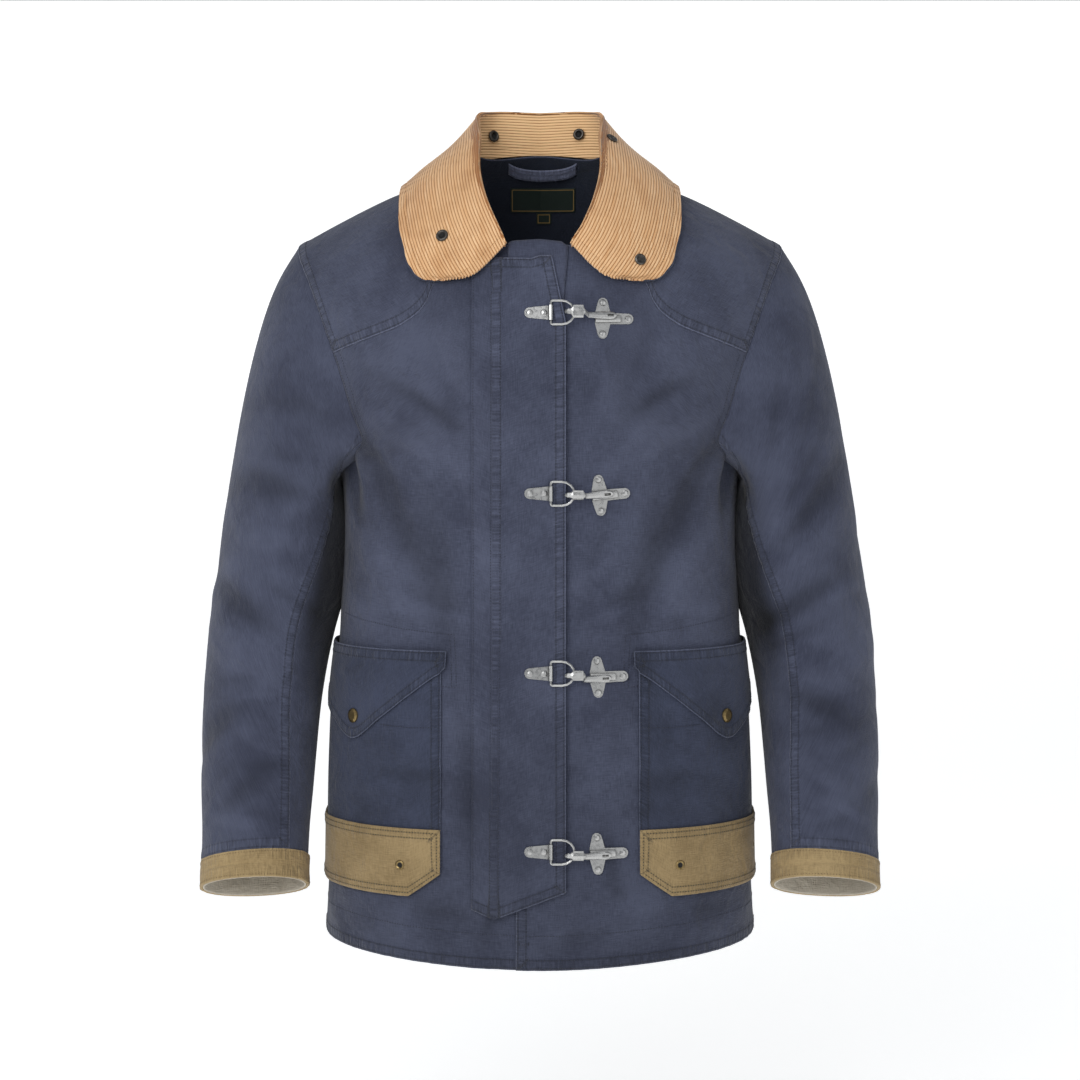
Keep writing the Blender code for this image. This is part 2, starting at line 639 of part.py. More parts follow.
def add_yoke(name, side, navy):
    foot = front_top(CENTRE_LINES, 1)[-YOKE_CELLS - 1 :]
    foot[:, 1] += GAP
    ridge_x = np.linspace(SIDE_NECK[-1].x, ARMHOLE[0].front_x, YOKE_CELLS + 1)
    seam_height = DOME_TOP - 2 * GAP
    ridge = np.stack([around_at(ridge_x, seam_height), np.full(len(ridge_x), seam_height)], axis=-1)
    neck = seam_path(SIDE_NECK, np.linspace(0, 1, YOKE_ROWS + 1))
    arm = armhole_path(yoke_shares()[::-1])
    neck[0], neck[-1] = foot[0], ridge[0]
    arm[0], arm[-1] = foot[-1], ridge[-1]
    places = coons(foot, ridge, neck, arm)
    places[..., 0] *= side
    skin_wall(name, places, 0.0, CLOTH, navy)


def back_half():
    """Places of the left half of the back, from the side seam to the centre."""
    seam = math.pi / 2 + GAP / 2 / SECTIONS[0].half_width
    shares = np.linspace(0, 1, BACK_CELLS + 1)
    row = seam + (math.pi - seam) * shares
    lower = [np.stack([row, hem(row)], axis=-1)]
    lower += [np.stack([row, np.full(len(row), level)], axis=-1) for level in LEVELS]
    ridge_x = np.linspace(ARMHOLE[0].back_x, BACK_NECK[0].x, YOKE_CELLS + 1)
    seam_height = DOME_TOP - 2 * GAP
    ridge = np.stack(
        [around_at(ridge_x, seam_height, True), np.full(len(ridge_x), seam_height)], axis=-1
    )
    neck = seam_path(BACK_NECK, np.linspace(0, 1, BACK_CELLS - YOKE_CELLS + 1), True)
    top = np.concatenate([ridge, neck[1:]])
    up = np.linspace(0, 1, BACK_ROWS + 1)
    arm = armhole_path(1 - up, True)
    arm[0], arm[-1] = lower[-1][0], top[0]
    heights = UNDERARM + (top[-1, 1] - UNDERARM) * up
    centre = np.stack([np.full(BACK_ROWS + 1, math.pi), heights], axis=-1)
    upper = coons(lower[-1], top, arm, centre)
    return np.concatenate([np.array(lower), upper[1:]])


def add_back(navy):
    left = back_half()
    right = left[:, :-1][:, ::-1].copy()
    right[..., 0] = 2 * math.pi - right[..., 0]
    places = np.concatenate([left, right], axis=1)
    turns = np.where(places[..., 0] > math.pi, places[..., 0] - 2 * math.pi, places[..., 0])
    outer, normal = on_skin(turns, places[..., 1], 0.0)
    add_wall("back_panel", outer, outer - normal * CLOTH, navy)


# ---------------------------------------------------------------- closure


def flap_lift(around, height):
    """The storm flap rises from its seam on to the placket facing."""
    x = skin(around, height)[..., 0]
    return LAYER * (1 + ease(x, FLAP_SEAM + 0.002, -0.040)) + GAP


def flap_foot(x):
    """The flap's slanted lower edge."""
    return float(np.interp(x, *FLAP_FOOT))


def strip_places(lines, feet, top):
    """Places of an upright strip on the shared lattice: a foot for each line, and a level top."""
    tops = height_at(np.array(lines), top)
    levels = [level for level in LEVELS if max(feet) < level]
    heights = levels + [UNDERARM + (FRONT_NECK[0].height - UNDERARM) * (row + 1) / UPPER_ROWS
                        for row in range(UPPER_ROWS)]
    heights = [height for height in heights if height < min(tops) - 0.004]
    rows = [np.stack([around_at(np.array(lines), np.array(feet)), np.array(feet)], axis=-1)]
    for height in heights:
        rows.append(np.stack([around_at(np.array(lines), height), np.full(len(lines), height)], axis=-1))
    rows.append(np.stack([around_at(np.array(lines), tops), tops], axis=-1))
    return np.array(rows)


def add_storm_flap(navy):
    lines = (FLAP_SEAM, -0.043, -FRONT_EDGE, 0.0, FLAP_EDGE)
    places = strip_places(lines, [flap_foot(x) for x in lines], FLAP_TOP)
    corner = places[-1, -1, 1]
    for row in range(len(places)):
        height = places[row, -1, 1]
        cut = FLAP_CORNER[0] * max(0.0, 1 - (corner - height) / FLAP_CORNER[1])
        places[row, -1, 0] = around_at(FLAP_EDGE - cut, height)
    skin_wall("storm_flap", places, flap_lift(places[..., 0], places[..., 1]), CLOTH, navy)


def add_placket_facing(navy):
    lines = (-FRONT_EDGE, 0.0, FRONT_EDGE)
    places = strip_places(lines, [FACING_FOOT] * len(lines), FACING_TOP)
    # At the neck it fans out, and shows past the flap's cut corner.
    for column_index, (x, z) in zip((0, -1), FACING_CORNERS):
        height = height_at(x, z)
        places[-1, column_index] = around_at(x, height), height
    places[-2, -1, 0] = around_at(FACING_SIDE, places[-2, -1, 1])
    skin_wall("placket_facing", places, LAYER, CLOTH, navy)


# ---------------------------------------------------------------- pockets


def pocket_columns(side, height, lead=None):
    """Round the side from the pocket's front edge to the back panel's first column."""
    start = float(around_at(POCKET_EDGE, height))
    columns = start + (math.pi / 2 - start) * np.concatenate([[0], side_shares()])
    columns = np.append(columns, math.pi / 2 * (1 + 1 / BACK_CELLS))
    if lead is not None:
        columns = np.concatenate([[float(around_at(lead, height))], columns])
    return side * columns


def puff(around, height):
    """Fullness of the pocket, none at its edges."""
    start, end = PUFF_FROM, PUFF_TO
    across = np.clip((np.abs(around) - start) / (end - start), 0, 1)
    up = np.clip((height - POCKET_FOOT) / (POCKET_TOP - POCKET_FOOT), 0, 1)
    return POCKET_PUFF * np.sin(math.pi * across) * np.sin(math.pi * up) ** 0.5


def chamfered(rows):
    """The lower front corner is cut off."""
    rows[0][0][1] += CHAMFER
    return np.array(rows)


def add_pocket(name, side, navy):
    levels = [level for level in LEVELS if POCKET_FOOT <= level <= POCKET_TOP]
    rows = [[[turn, level] for turn in pocket_columns(side, level)] for level in levels]
    places = chamfered(rows)
    skin_wall(name, places, LAYER + puff(places[..., 0], places[..., 1]), CLOTH, navy)


def add_pocket_band(name, side, khaki):
    levels = [level for level in LEVELS if POCKET_FOOT <= level <= BAND_TOP]
    rows = [[[turn, level] for turn in pocket_columns(side, level)] for level in levels]
    places = chamfered(rows)
    skin_wall(name, places, 2 * LAYER + puff(places[..., 0], places[..., 1]), CLOTH, khaki)


def add_pocket_flap(name, side, navy):
    """Pointed flap: each column has its own foot, and rows on the lattice above it."""
    turns = pocket_columns(side, POCKET_TOP, lead=POCKET_FLAP_EDGE)
    rows = []
    for share in np.linspace(0, 1, POCKET_FLAP_ROWS):
        heights = [foot + (POCKET_FLAP_TOP - foot) * share for foot in POCKET_FLAP_FEET]
        rows.append([[turn, height] for turn, height in zip(turns, heights)])
    places = np.array(rows)
    raised = 2 * LAYER + POCKET_FLAP_CLEAR + puff(places[..., 0], places[..., 1])
    skin_wall(name, places, raised, CLOTH, navy)


# ---------------------------------------------------------------- sleeves and cuffs


def armhole_loop(side, turns):
    """The armhole in space, by angle from its top by way of the front, with the skin's normals."""
    turns = np.mod(np.asarray(turns, float), 2 * math.pi)
    front = armhole_path(np.clip(turns / math.pi, 0, 1))
    back = armhole_path(np.clip(2 - turns / math.pi, 0, 1), True)
    places = np.where((turns <= math.pi)[..., None], front, back)
    around, height = side * places[..., 0], places[..., 1]
    return on_skin(around, height, 0.0)


def ring_points(side, row, turns):
    """One ring of the sleeve: an ellipse-like loop, or near the armhole partly its outline."""
    ring = SLEEVE_RINGS[row]
    outer = np.array([side * ring.outer_x, ring.y, ring.outer_z])
    inner = np.array([side * ring.inner_x, ring.y, ring.inner_z])
    middle, arm = (outer + inner) / 2, (outer - inner) / 2
    tilt = math.radians(ring.tilt)
    deep = ring.depth * np.array([0, -math.cos(tilt), math.sin(tilt)])
    cosine, sine = np.cos(turns), np.sin(turns)
    fit = (np.abs(cosine) ** RING_ROUND + np.abs(sine) ** RING_ROUND) ** (-1 / RING_ROUND)
    points = middle + (cosine * fit)[..., None] * arm + ((1 - ring.armhole) * sine * fit)[..., None] * deep
    if ring.armhole:
        loop = armhole_loop(side, turns)[0]
        ends = armhole_loop(side, np.array([0.0, math.pi]))[0]
        centre, reach = (ends[0] + ends[1]) / 2, (ends[0] - ends[1]) / 2
        rest = loop - centre - cosine[..., None] * reach
        if ring.armhole == 1:
            points = loop + np.array([side * (GAP + 0.0002), 0, 0])
        else:
            points = points + ring.armhole * rest
    return points


def sleeve_skin(side, turns, rows):
    """Points of the sleeve at angles and (fractional) ring numbers given as equal arrays."""
    turns, rows = np.broadcast_arrays(np.asarray(turns, float), np.asarray(rows, float))
    keys = np.arange(len(SLEEVE_RINGS))
    shape = turns.shape
    stack = np.stack([ring_points(side, int(key), turns.reshape(-1)) for key in keys])
    slopes = np.gradient(stack, axis=0)
    row = np.clip(np.floor(rows.reshape(-1)).astype(int), 0, len(keys) - 2)
    t = (rows.reshape(-1) - row)[:, None]
    pick = np.arange(len(row))
    start = stack[row, pick] * (1 + 2 * t) * (1 - t) ** 2 + slopes[row, pick] * t * (1 - t) ** 2
    end = stack[row + 1, pick] * t * t * (3 - 2 * t) + slopes[row + 1, pick] * t * t * (t - 1)
    return (start + end).reshape(*shape, 3)


def sleeve_normal(side, turns, rows):
    step = 1e-3
    low, high = np.maximum(rows - step, 0), np.minimum(rows + step, len(SLEEVE_RINGS) - 1)
    turn = sleeve_skin(side, turns + step, rows) - sleeve_skin(side, turns - step, rows)
    down = sleeve_skin(side, turns, high) - sleeve_skin(side, turns, low)
    normal = unit(np.cross(down, turn)) * -side
    # At the armhole the wall leans as the body's does, so that the two rims stay apart.
    body = armhole_loop(side, turns)[1]
    alike = np.clip(2 * np.sum(body * normal, axis=-1), 0, 1) * np.clip(1 - rows, 0, 1)
    return unit(normal * (1 - alike[..., None]) + body * alike[..., None])


def sleeve_folds(side, turns, rows):
    total = np.zeros(turns.shape)
    for fold in LEFT_SLEEVE_FOLDS if side > 0 else RIGHT_SLEEVE_FOLDS:
        angle = np.mod(turns - math.radians(fold.turn) + math.pi, 2 * math.pi) - math.pi
        sideways = angle * SLEEVE_GIRTH
        down = (rows - fold.ring) * RING_PITCH
        lean = math.radians(fold.lean)
        across = sideways * math.cos(lean) - down * math.sin(lean)
        along = sideways * math.sin(lean) + down * math.cos(lean)
        total = total + fold.depth * np.exp(-((across / fold.width) ** 2 + (along / fold.length) ** 2))
    return total


def sleeve_wall(name, side, turns, rows, lift, thickness, material, closed=False):
    normal = sleeve_normal(side, turns, rows)
    raised = lift + sleeve_folds(side, turns, rows)
    outer = sleeve_skin(side, turns, rows) + normal * raised[..., None]
    return add_wall(name, outer, outer - normal * thickness, material, closed)


def armhole_turns(under):
    """Angles of a sleeve piece's columns at the armhole, one for each row of the body there."""
    back = -math.pi * np.linspace(1, 0, BACK_ROWS + 1)
    front = math.pi * np.concatenate([yoke_shares(), front_shares()[1:]])
    seam = len(front) - 1 - SEAM_ROWS_FRONT
    if under:
        return np.concatenate([front[seam:], back[1 : SEAM_ROWS_BACK + 1] + 2 * math.pi])
    return np.concatenate([back[SEAM_ROWS_BACK:], front[1 : seam + 1]])


def sleeve_turns(rows, under, half_gap=0.0):
    """Angles of a sleeve piece's columns: from the armhole's spacing to an even one."""
    top = armhole_turns(under)
    keys = np.arange(len(SLEEVE_RINGS))
    front = np.radians(smooth(keys, column(SLEEVE_RINGS, "front_seam"), rows))
    back = np.radians(smooth(keys, column(SLEEVE_RINGS, "back_seam"), rows))
    start, end = (front, back) if under else (back - 2 * math.pi, front)
    settled = ease(rows, 0, 2)
    start = top[0] + (start - top[0]) * settled + half_gap
    end = top[-1] + (end - top[-1]) * settled - half_gap
    own = (top - top[0]) / (top[-1] - top[0])
    even = np.linspace(0, 1, len(top))
    shares = own + (even - own) * ease(rows, 0, 4)[:, None]
    return start[:, None] + (end - start)[:, None] * shares


def sleeve_rows(first, last):
    return np.arange(first, last + 1.0)


def add_sleeve(suffix, side, navy, khaki, grey):
    rows = sleeve_rows(0, CUFF_ROW)
    half_gap = GAP / 2 / 0.055
    for name, under in (("top_sleeve", False), ("under_sleeve", True)):
        turns = sleeve_turns(rows, under, half_gap)
        grid = np.repeat(rows[:, None], turns.shape[1], axis=1)
        sleeve_wall(f"{name}_{suffix}", side, turns, grid, 0.0, CLOTH, navy)

    pitch = 0.030
    for name, first, lift, thickness, material in (
        ("cuff_band", CUFF_ROW + GAP / pitch, CUFF_PROUD, CUFF_WALL, khaki),
        ("cuff_lining", LINING_ROW, -LAYER, LINING, grey),
    ):
        inner_rows = sleeve_rows(LINING_ROW, len(SLEEVE_RINGS) - 1)
        inner_rows = inner_rows[inner_rows > first]
        band_rows = np.concatenate([[first], inner_rows])
        top = sleeve_turns(band_rows, False)
        bottom = sleeve_turns(band_rows, True)
        turns = np.concatenate([top[:, :-1], bottom[:, :-1]], axis=1)
        grid = np.repeat(band_rows[:, None], turns.shape[1], axis=1)
        sleeve_wall(f"{name}_{suffix}", side, turns, grid, lift, thickness, material, True)


# ---------------------------------------------------------------- collar


def collar_lines(along):
    """Seam, stand, roll, leaf and edge points of the collar at stations given by share."""
    side = np.where(along < 0, -1.0, 1.0)
    share = np.abs(along)
    keys = column(COLLAR, "along")

    def value(name):
        return smooth(keys, column(COLLAR, name), share)

    neck_x, neck_over = value("neck_x"), value("neck_over")
    edge_x, edge_over = value("edge_x"), value("edge_over")
    around, height = over_shoulder(neck_x, neck_over)
    neck = skin(around, height) + skin_normal(around, height) * COLLAR_SEAT
    tip = ease(share, TIP_FROM, 1.0)
    leaf_over = (neck_over + edge_over) / 2 - LEAF_DIP * tip
    around, height = over_shoulder((neck_x + edge_x) / 2, leaf_over)
    leaf = skin(around, height) + skin_normal(around, height) * LEAF_LIFT
    around, height = over_shoulder(edge_x, edge_over)
    edge = skin(around, height) + skin_normal(around, height) * value("edge_lift")[:, None]
    roll = np.stack([value("roll_x"), value("roll_y"), value("roll_z")], axis=-1)
    lines = np.stack([neck, (neck + roll) / 2, roll, leaf, edge])
    lines[..., 0] *= side
    lines[..., 0] -= LEFT_TIP_IN * tip * (side > 0)
    return lines


def collar_skin(along, across):
    """Points of the collar's visible face: along from -1 to 1, across from seam to edge."""
    along, across = np.broadcast_arrays(np.asarray(along, float), np.asarray(across, float))
    shape = along.shape
    lines = collar_lines(along.reshape(-1))
    keys = np.array(COLLAR_KEYS)
    slopes = np.gradient(lines, keys, axis=0)
    at = across.reshape(-1)
    row = np.clip(np.searchsorted(keys, at, side="right") - 1, 0, len(keys) - 2)
    span = (keys[row + 1] - keys[row])[:, None]
    t = ((at - keys[row]) / span[:, 0])[:, None]
    pick = np.arange(len(row))
    start = lines[row, pick] * (1 + 2 * t) * (1 - t) ** 2 + slopes[row, pick] * span * t * (1 - t) ** 2
    end = lines[row + 1, pick] * t * t * (3 - 2 * t) + slopes[row + 1, pick] * span * t * t * (t - 1)
    return (start + end).reshape(*shape, 3)


def collar_normal(along, across):
    step = 1e-3
    run = collar_skin(np.minimum(along + step, 1), across) - collar_skin(np.maximum(along - step, -1), across)
    rise = collar_skin(along, across + step) - collar_skin(along, across - step)
    return unit(np.cross(run, rise))


def add_collar(tan, navy):
    along = np.concatenate([-np.array(COLLAR_ALONG[:0:-1]), COLLAR_ALONG])
    for name, across, drop, thickness, material in (
        ("collar_top", COLLAR_ACROSS, 0.0, CORDUROY, tan),
        ("collar_under", (*COLLAR_ACROSS[LEAF_FROM:-1], 1 + UNDER_SHOWS), CORDUROY + 2 * GAP,
         UNDER_COLLAR, navy),
    ):
        run, cut = np.meshgrid(along, np.array(across), indexing="xy")
        normal = collar_normal(run, cut)
        outer = collar_skin(run, cut) - normal * drop
        add_wall(name, outer, outer - normal * thickness, material)


# ---------------------------------------------------------------- seating things on the cloth


def cloth_tree(name):
    """What a ray can meet: the finished faces of a cloth piece."""
    return BVHTree.FromObject(bpy.data.objects[name], bpy.context.evaluated_depsgraph_get())


def seated(frame, footprint, cloth):
    """The frame moved along its -Y axis until nothing under the footprint is nearer than a gap."""
    tree = cloth_tree(cloth)
    out = -frame.col[1].xyz.normalized()
    start = 0.02
    highest = max(
        start - tree.ray_cast(frame @ Vector((x, -start, z)), -out, 2 * start)[3] for x, z in footprint
    )
    moved = frame.copy()
    moved.translation = frame.translation + out * (highest + GAP)
    return moved


def circle(radius, centre_x=0.0, centre_z=0.0, count=12):
    turns = np.linspace(0, 2 * math.pi, count, endpoint=False)
    return [(centre_x + radius * math.cos(t), centre_z + radius * math.sin(t)) for t in turns]


# ---------------------------------------------------------------- inside the neck


def back_inside(x, z, clearance):
    """Points this far inside the back panel, at each x and z, as rows by columns."""
    tree = cloth_tree("back_panel")
    x, z = np.broadcast_arrays(np.asarray(x, float), np.asarray(z, float))
    found = [
        tree.ray_cast(Vector((float(a), 0.0, float(b))), Vector((0, 1, 0)), 0.3)[0]
        for a, b in zip(x.ravel(), z.ravel())
    ]
    points = np.array(found).reshape(*x.shape, 3)
    points[..., 1] -= clearance
    return points


def add_label(name, left, right, foot, top, clearance, material):
    x, z = np.meshgrid(np.linspace(left, right, 9), np.linspace(foot, top, 4), indexing="xy")
    outer = back_inside(x, z, clearance)
    add_wall(name, outer, outer - np.array([0, LABEL, 0]), material)


def add_hanger_loop(navy):
    """Strip sewn at both ends under the neck seam, standing off the back between them."""
    share = np.linspace(0, 1, 13)
    x = LOOP_LEFT + (LOOP_RIGHT - LOOP_LEFT) * share
    stand_off = LOOP_BOW * np.clip(np.sin(math.pi * share), 0, 1) ** 0.7
    rows = []
    for height in (LOOP_TOP - LOOP_WIDTH, LOOP_TOP):
        row = back_inside(x, np.full(len(x), height), GAP)
        row[:, 1] -= stand_off
        row[:, 2] -= stand_off * 0.4
        rows.append(row)
    outer = np.array(rows)
    add_wall("hanger_loop", outer, outer - np.array([0, LOOP_THICK, 0]), navy)


# ---------------------------------------------------------------- clasps


def frame_at(x, z, lift):
    """Matrix of a fitting on the front: X to the wearer's left, Z up, -Y out of the cloth."""
    height = height_at(x, z)
    around = around_at(x, height)
    point, normal = on_skin(around, height, lift)
    out = Vector(normal)
    right = Vector((0, 0, 1)).cross(-out).normalized() * -1
    right = right if right.x > 0 else -right
    up = right.cross(-out).normalized()
    up = up if up.z > 0 else -up
    matrix = Matrix((right, -out, up)).transposed().to_4x4()
    matrix.translation = Vector(point)
    return matrix


def arc(centre_x, centre_z, radius, start, end, count=6):
    turns = np.linspace(math.radians(start), math.radians(end), count)
    return [(centre_x + radius * math.cos(t), centre_z + radius * math.sin(t)) for t in turns]


def flat_plate(outline):
    """Plate of the given outline in XZ, its back at y = 0 and its face at y = -PLATE."""
    shape = bmesh.new()
    corners = [shape.verts.new((x, 0.0, z)) for x, z in outline]
    face = shape.faces.new(corners)
    grown = bmesh.ops.extrude_face_region(shape, geom=[face])["geom"]
    moved = [item for item in grown if isinstance(item, bmesh.types.BMVert)]
    bmesh.ops.translate(shape, verts=moved, vec=(0, -PLATE, 0))
    bmesh.ops.recalc_face_normals(shape, faces=shape.faces)
    return shape


def new_object(name, shape, matrix, material, collection=None):
    mesh = bpy.data.meshes.new(name)
    shape.to_mesh(mesh)
    shape.free()
    mesh.materials.append(material)
    made = bpy.data.objects.new(name, mesh)
    made.matrix_world = matrix
    (collection or jacket).objects.link(made)
    return made


def new_cutter(name, shape, matrix, material):
    made = new_object(name, shape, matrix, material, cutters)
    made.hide_render = True
    made.display_type = "WIRE"
    return made


def rivet_heads(places):
    shape = bmesh.new()
    for x, z in places:
        flatten = Matrix.Diagonal((1.0, RIVET_RISE / RIVET_RADIUS, 1.0, 1.0))
        upright = Matrix.Rotation(math.pi / 2, 4, "X")
        bmesh.ops.create_uvsphere(
            shape, u_segments=RIVET_SIDES, v_segments=4, radius=RIVET_RADIUS,
            matrix=Matrix.Translation((x, -PLATE, z)) @ flatten @ upright,
        )
    return shape


def upright_cylinder(x, y, radius, length, sides=10):
    shape = bmesh.new()
    bmesh.ops.create_cone(
        shape, cap_ends=True, segments=sides, radius1=radius, radius2=radius, depth=length,
        matrix=Matrix.Translation((x, y, 0)),
    )
    return shape


def add_boolean(target, tool, operation):
    modifier = target.modifiers.new(operation.lower(), "BOOLEAN")
    modifier.operation = operation
    modifier.object = tool
    modifier.solver = "EXACT"


def dee_plate_outline():
    near, far, tip = 0.0068, 0.0050, -0.0097
    root = DEE_X - BARREL_RADIUS / 3
    return [(root, -near), (root, near)] + arc(tip, 0, far, 97, 263, 7)


def add_dee_plate(name, matrix, steel):
    """Tapered plate with two rivets, its end rolled round the dee's bar."""
    plate = new_object(name, flat_plate(dee_plate_outline()), matrix, steel)
    heads = new_cutter(name + "_rivets", rivet_heads([(-0.0096, 0), (0.0037, 0)]), matrix, steel)
    rolled = upright_cylinder(DEE_X, -BARREL_RADIUS, BARREL_RADIUS, BARREL_LENGTH)
    barrel = new_cutter(name + "_barrel", rolled, matrix, steel)
    hole = upright_cylinder(DEE_X, -BARREL_RADIUS, BORE_RADIUS, 3 * BARREL_LENGTH)
    bore = new_cutter(name + "_bore", hole, matrix, steel)
    add_boolean(plate, heads, "UNION")
    add_boolean(plate, barrel, "UNION")
    add_boolean(plate, bore, "DIFFERENCE")


def add_wire(name, points, radius, matrix, material, resolution=1):
    """Closed loop of round wire."""
    curve = bpy.data.curves.new(name, "CURVE")
    curve.dimensions = "3D"
    curve.bevel_depth = radius
    curve.bevel_resolution = resolution
    curve.render_resolution_u = 0
    spline = curve.splines.new("POLY")
    spline.points.add(len(points) - 1)
    for target, point in zip(spline.points, points):
        target.co = (*point, 1.0)
    spline.use_cyclic_u = True
    curve.materials.append(material)
    made = bpy.data.objects.new(name, curve)
    made.matrix_world = matrix
    jacket.objects.link(made)


def dee_path():
    """Dee ring: a bar, two straight shoulders and a bow."""
    corner = 0.0018
    high = DEE_HALF_HEIGHT
    bow_start = 0.0205
    points = arc(DEE_X + corner, high - corner, corner, 180, 90, 3)
    for turn in np.linspace(90, -90, 9):
        angle = math.radians(turn)
        points.append((bow_start + (DEE_BOW_X - bow_start) * math.cos(angle), high * math.sin(angle)))
    points += arc(DEE_X + corner, corner - high, corner, 270, 180, 3)
    return [(x, -BARREL_RADIUS, z) for x, z in points]


def hook_rings(dee_frame, plate_frame, clasp):
    """Rings of the snap hook in space, each an oval across the line through the rows."""
    start, end = HOOK_GATE
    gate = [Bar(start, HOOK_OUT, clasp.gate, 0.0016), Bar(end, HOOK_OUT, clasp.gate, 0.0016)]
    gate += [Bar(end + 0.0008, HOOK_OUT, 0.0024, 0.0014)]
    rows = [(dee_frame, bar, clasp.nose) for bar in (*HOOK_NOSE, *gate)]
    rows += [(plate_frame, bar, clasp.tail * min(1, abs(bar.x) / 0.0050)) for bar in HOOK_TAIL[:1]]
    rows += [(plate_frame, bar, clasp.tail) for bar in HOOK_TAIL[1:]]
    lift = PLATE + TUNNEL_RISE
    centres = [
        frame @ Vector((bar.x, -bar.out - (lift if frame is plate_frame else 0.0), z))
        for frame, bar, z in rows
    ]
    rings = []
    for index, (frame, bar, _) in enumerate(rows):
        before, after = centres[max(index - 1, 0)], centres[min(index + 1, len(rows) - 1)]
        tall = frame.col[2].xyz
        across = (after - before).cross(tall).normalized()
        turns = np.linspace(0, 2 * math.pi, HOOK_SIDES, endpoint=False)
        rings.append([
            centres[index] + tall * bar.tall * math.cos(t) + across * bar.thick * math.sin(t)
            for t in turns
        ])
    return rings


def lofted(rings):
    shape = bmesh.new()
    made = [[shape.verts.new(point) for point in ring] for ring in rings]
    for low, high in zip(made, made[1:]):
        for index in range(len(low)):
            after = (index + 1) % len(low)
            shape.faces.new((low[index], low[after], high[after], high[index]))
    shape.faces.new(made[0])
    shape.faces.new(made[-1])
    bmesh.ops.recalc_face_normals(shape, faces=shape.faces)
    return shape


def add_snap_hook(name, dee_frame, plate_frame, clasp, steel):
    hook = new_object(name, lofted(hook_rings(dee_frame, plate_frame, clasp)), Matrix(), steel)
    slot = bmesh.new()
    size = Matrix.Diagonal((0.0060, 0.02, 0.0024, 1.0))
    place = Matrix.Translation((0.0070, 0, clasp.tail))
    bmesh.ops.create_cube(slot, size=1.0, matrix=place @ size)
    add_boolean(hook, new_cutter(name + "_slot", slot, plate_frame, steel), "DIFFERENCE")


def hook_plate_outline():
    waist_x, waist_z = 0.0072, 0.0053
    top, foot, side, small = 0.0150, 0.0145, 0.0240, 0.0047
    return (
        [(waist_x, -waist_z)] + arc(side, 0, small + 0.0003, -80, 80)
        + [(waist_x, waist_z)] + arc(0, top, small, 8, 172)
        + [(-waist_x, waist_z), (-waist_x, -waist_z)] + arc(0, -foot, small, 188, 352)
    )


def add_hook_plate(name, matrix, steel):
    """Three-armed plate with a rivet in each arm, raised along the middle under the hook."""
    plate = new_object(name, flat_plate(hook_plate_outline()), matrix, steel)
    heads = new_cutter(
        name + "_rivets", rivet_heads([(0.0240, 0), (0, 0.0150), (0, -0.0145)]), matrix, steel
    )
    ridge = bmesh.new()
    flatten = Matrix.Diagonal((1.0, TUNNEL_RISE / TUNNEL_RADIUS, 1.0, 1.0))
    lying = Matrix.Rotation(math.pi / 2, 4, "Y")
    bmesh.ops.create_cone(
        ridge, cap_ends=True, segments=12, radius1=TUNNEL_RADIUS, radius2=TUNNEL_RADIUS * 0.8,
        depth=0.0235, matrix=Matrix.Translation((0.0050, -PLATE, 0)) @ flatten @ lying,
    )
    below = bmesh.ops.bisect_plane(
        ridge, geom=ridge.verts[:] + ridge.edges[:] + ridge.faces[:], plane_co=(0, -PLATE / 2, 0),
        plane_no=(0, 1, 0), clear_outer=True,
    )
    rim = [item for item in below["geom_cut"] if isinstance(item, bmesh.types.BMEdge)]
    bmesh.ops.contextual_create(ridge, geom=rim)
    bmesh.ops.recalc_face_normals(ridge, faces=ridge.faces)
    add_boolean(plate, heads, "UNION")
    add_boolean(plate, new_cutter(name + "_ridge", ridge, matrix, steel), "UNION")


def add_clasps(steel):
    for number, clasp in enumerate(CLASPS, 1):
        frame = frame_at(0.0, clasp.height, 0.0)
        frame = seated(frame, dee_plate_outline(), "storm_flap")
        foot = frame_at(clasp.hook_x, clasp.height - clasp.drop, 0.0)
        foot = foot @ Matrix.Rotation(math.radians(clasp.lean), 4, "Y")
        foot = seated(foot, hook_plate_outline(), "front_left")
        add_dee_plate(f"dee_plate_{number}", frame, steel)
        add_wire(f"dee_ring_{number}", dee_path(), DEE_RADIUS, frame, steel)
        add_snap_hook(f"snap_hook_{number}", frame, foot, clasp, steel)
        add_hook_plate(f"hook_plate_{number}", foot, steel)


# ---------------------------------------------------------------- studs and eyelets


def turned(name, profile, matrix, material, sides=12):
    """Turned fitting: the profile is radius and height out of the cloth, axis along -Y."""
    rings = [[Vector((x, -out, z)) for x, z in circle(radius, count=sides)] for radius, out in profile]
    return new_object(name, lofted(rings), matrix, material)


def collar_frame(along, across):
    point = collar_skin(along, across)
    out = Vector(collar_normal(np.asarray(along), np.asarray(across)))
    right = (Vector((1, 0, 0)) - out * out.x).normalized()
    matrix = Matrix((right, -out, right.cross(-out))).transposed().to_4x4()
    matrix.translation = Vector(point)
    return matrix


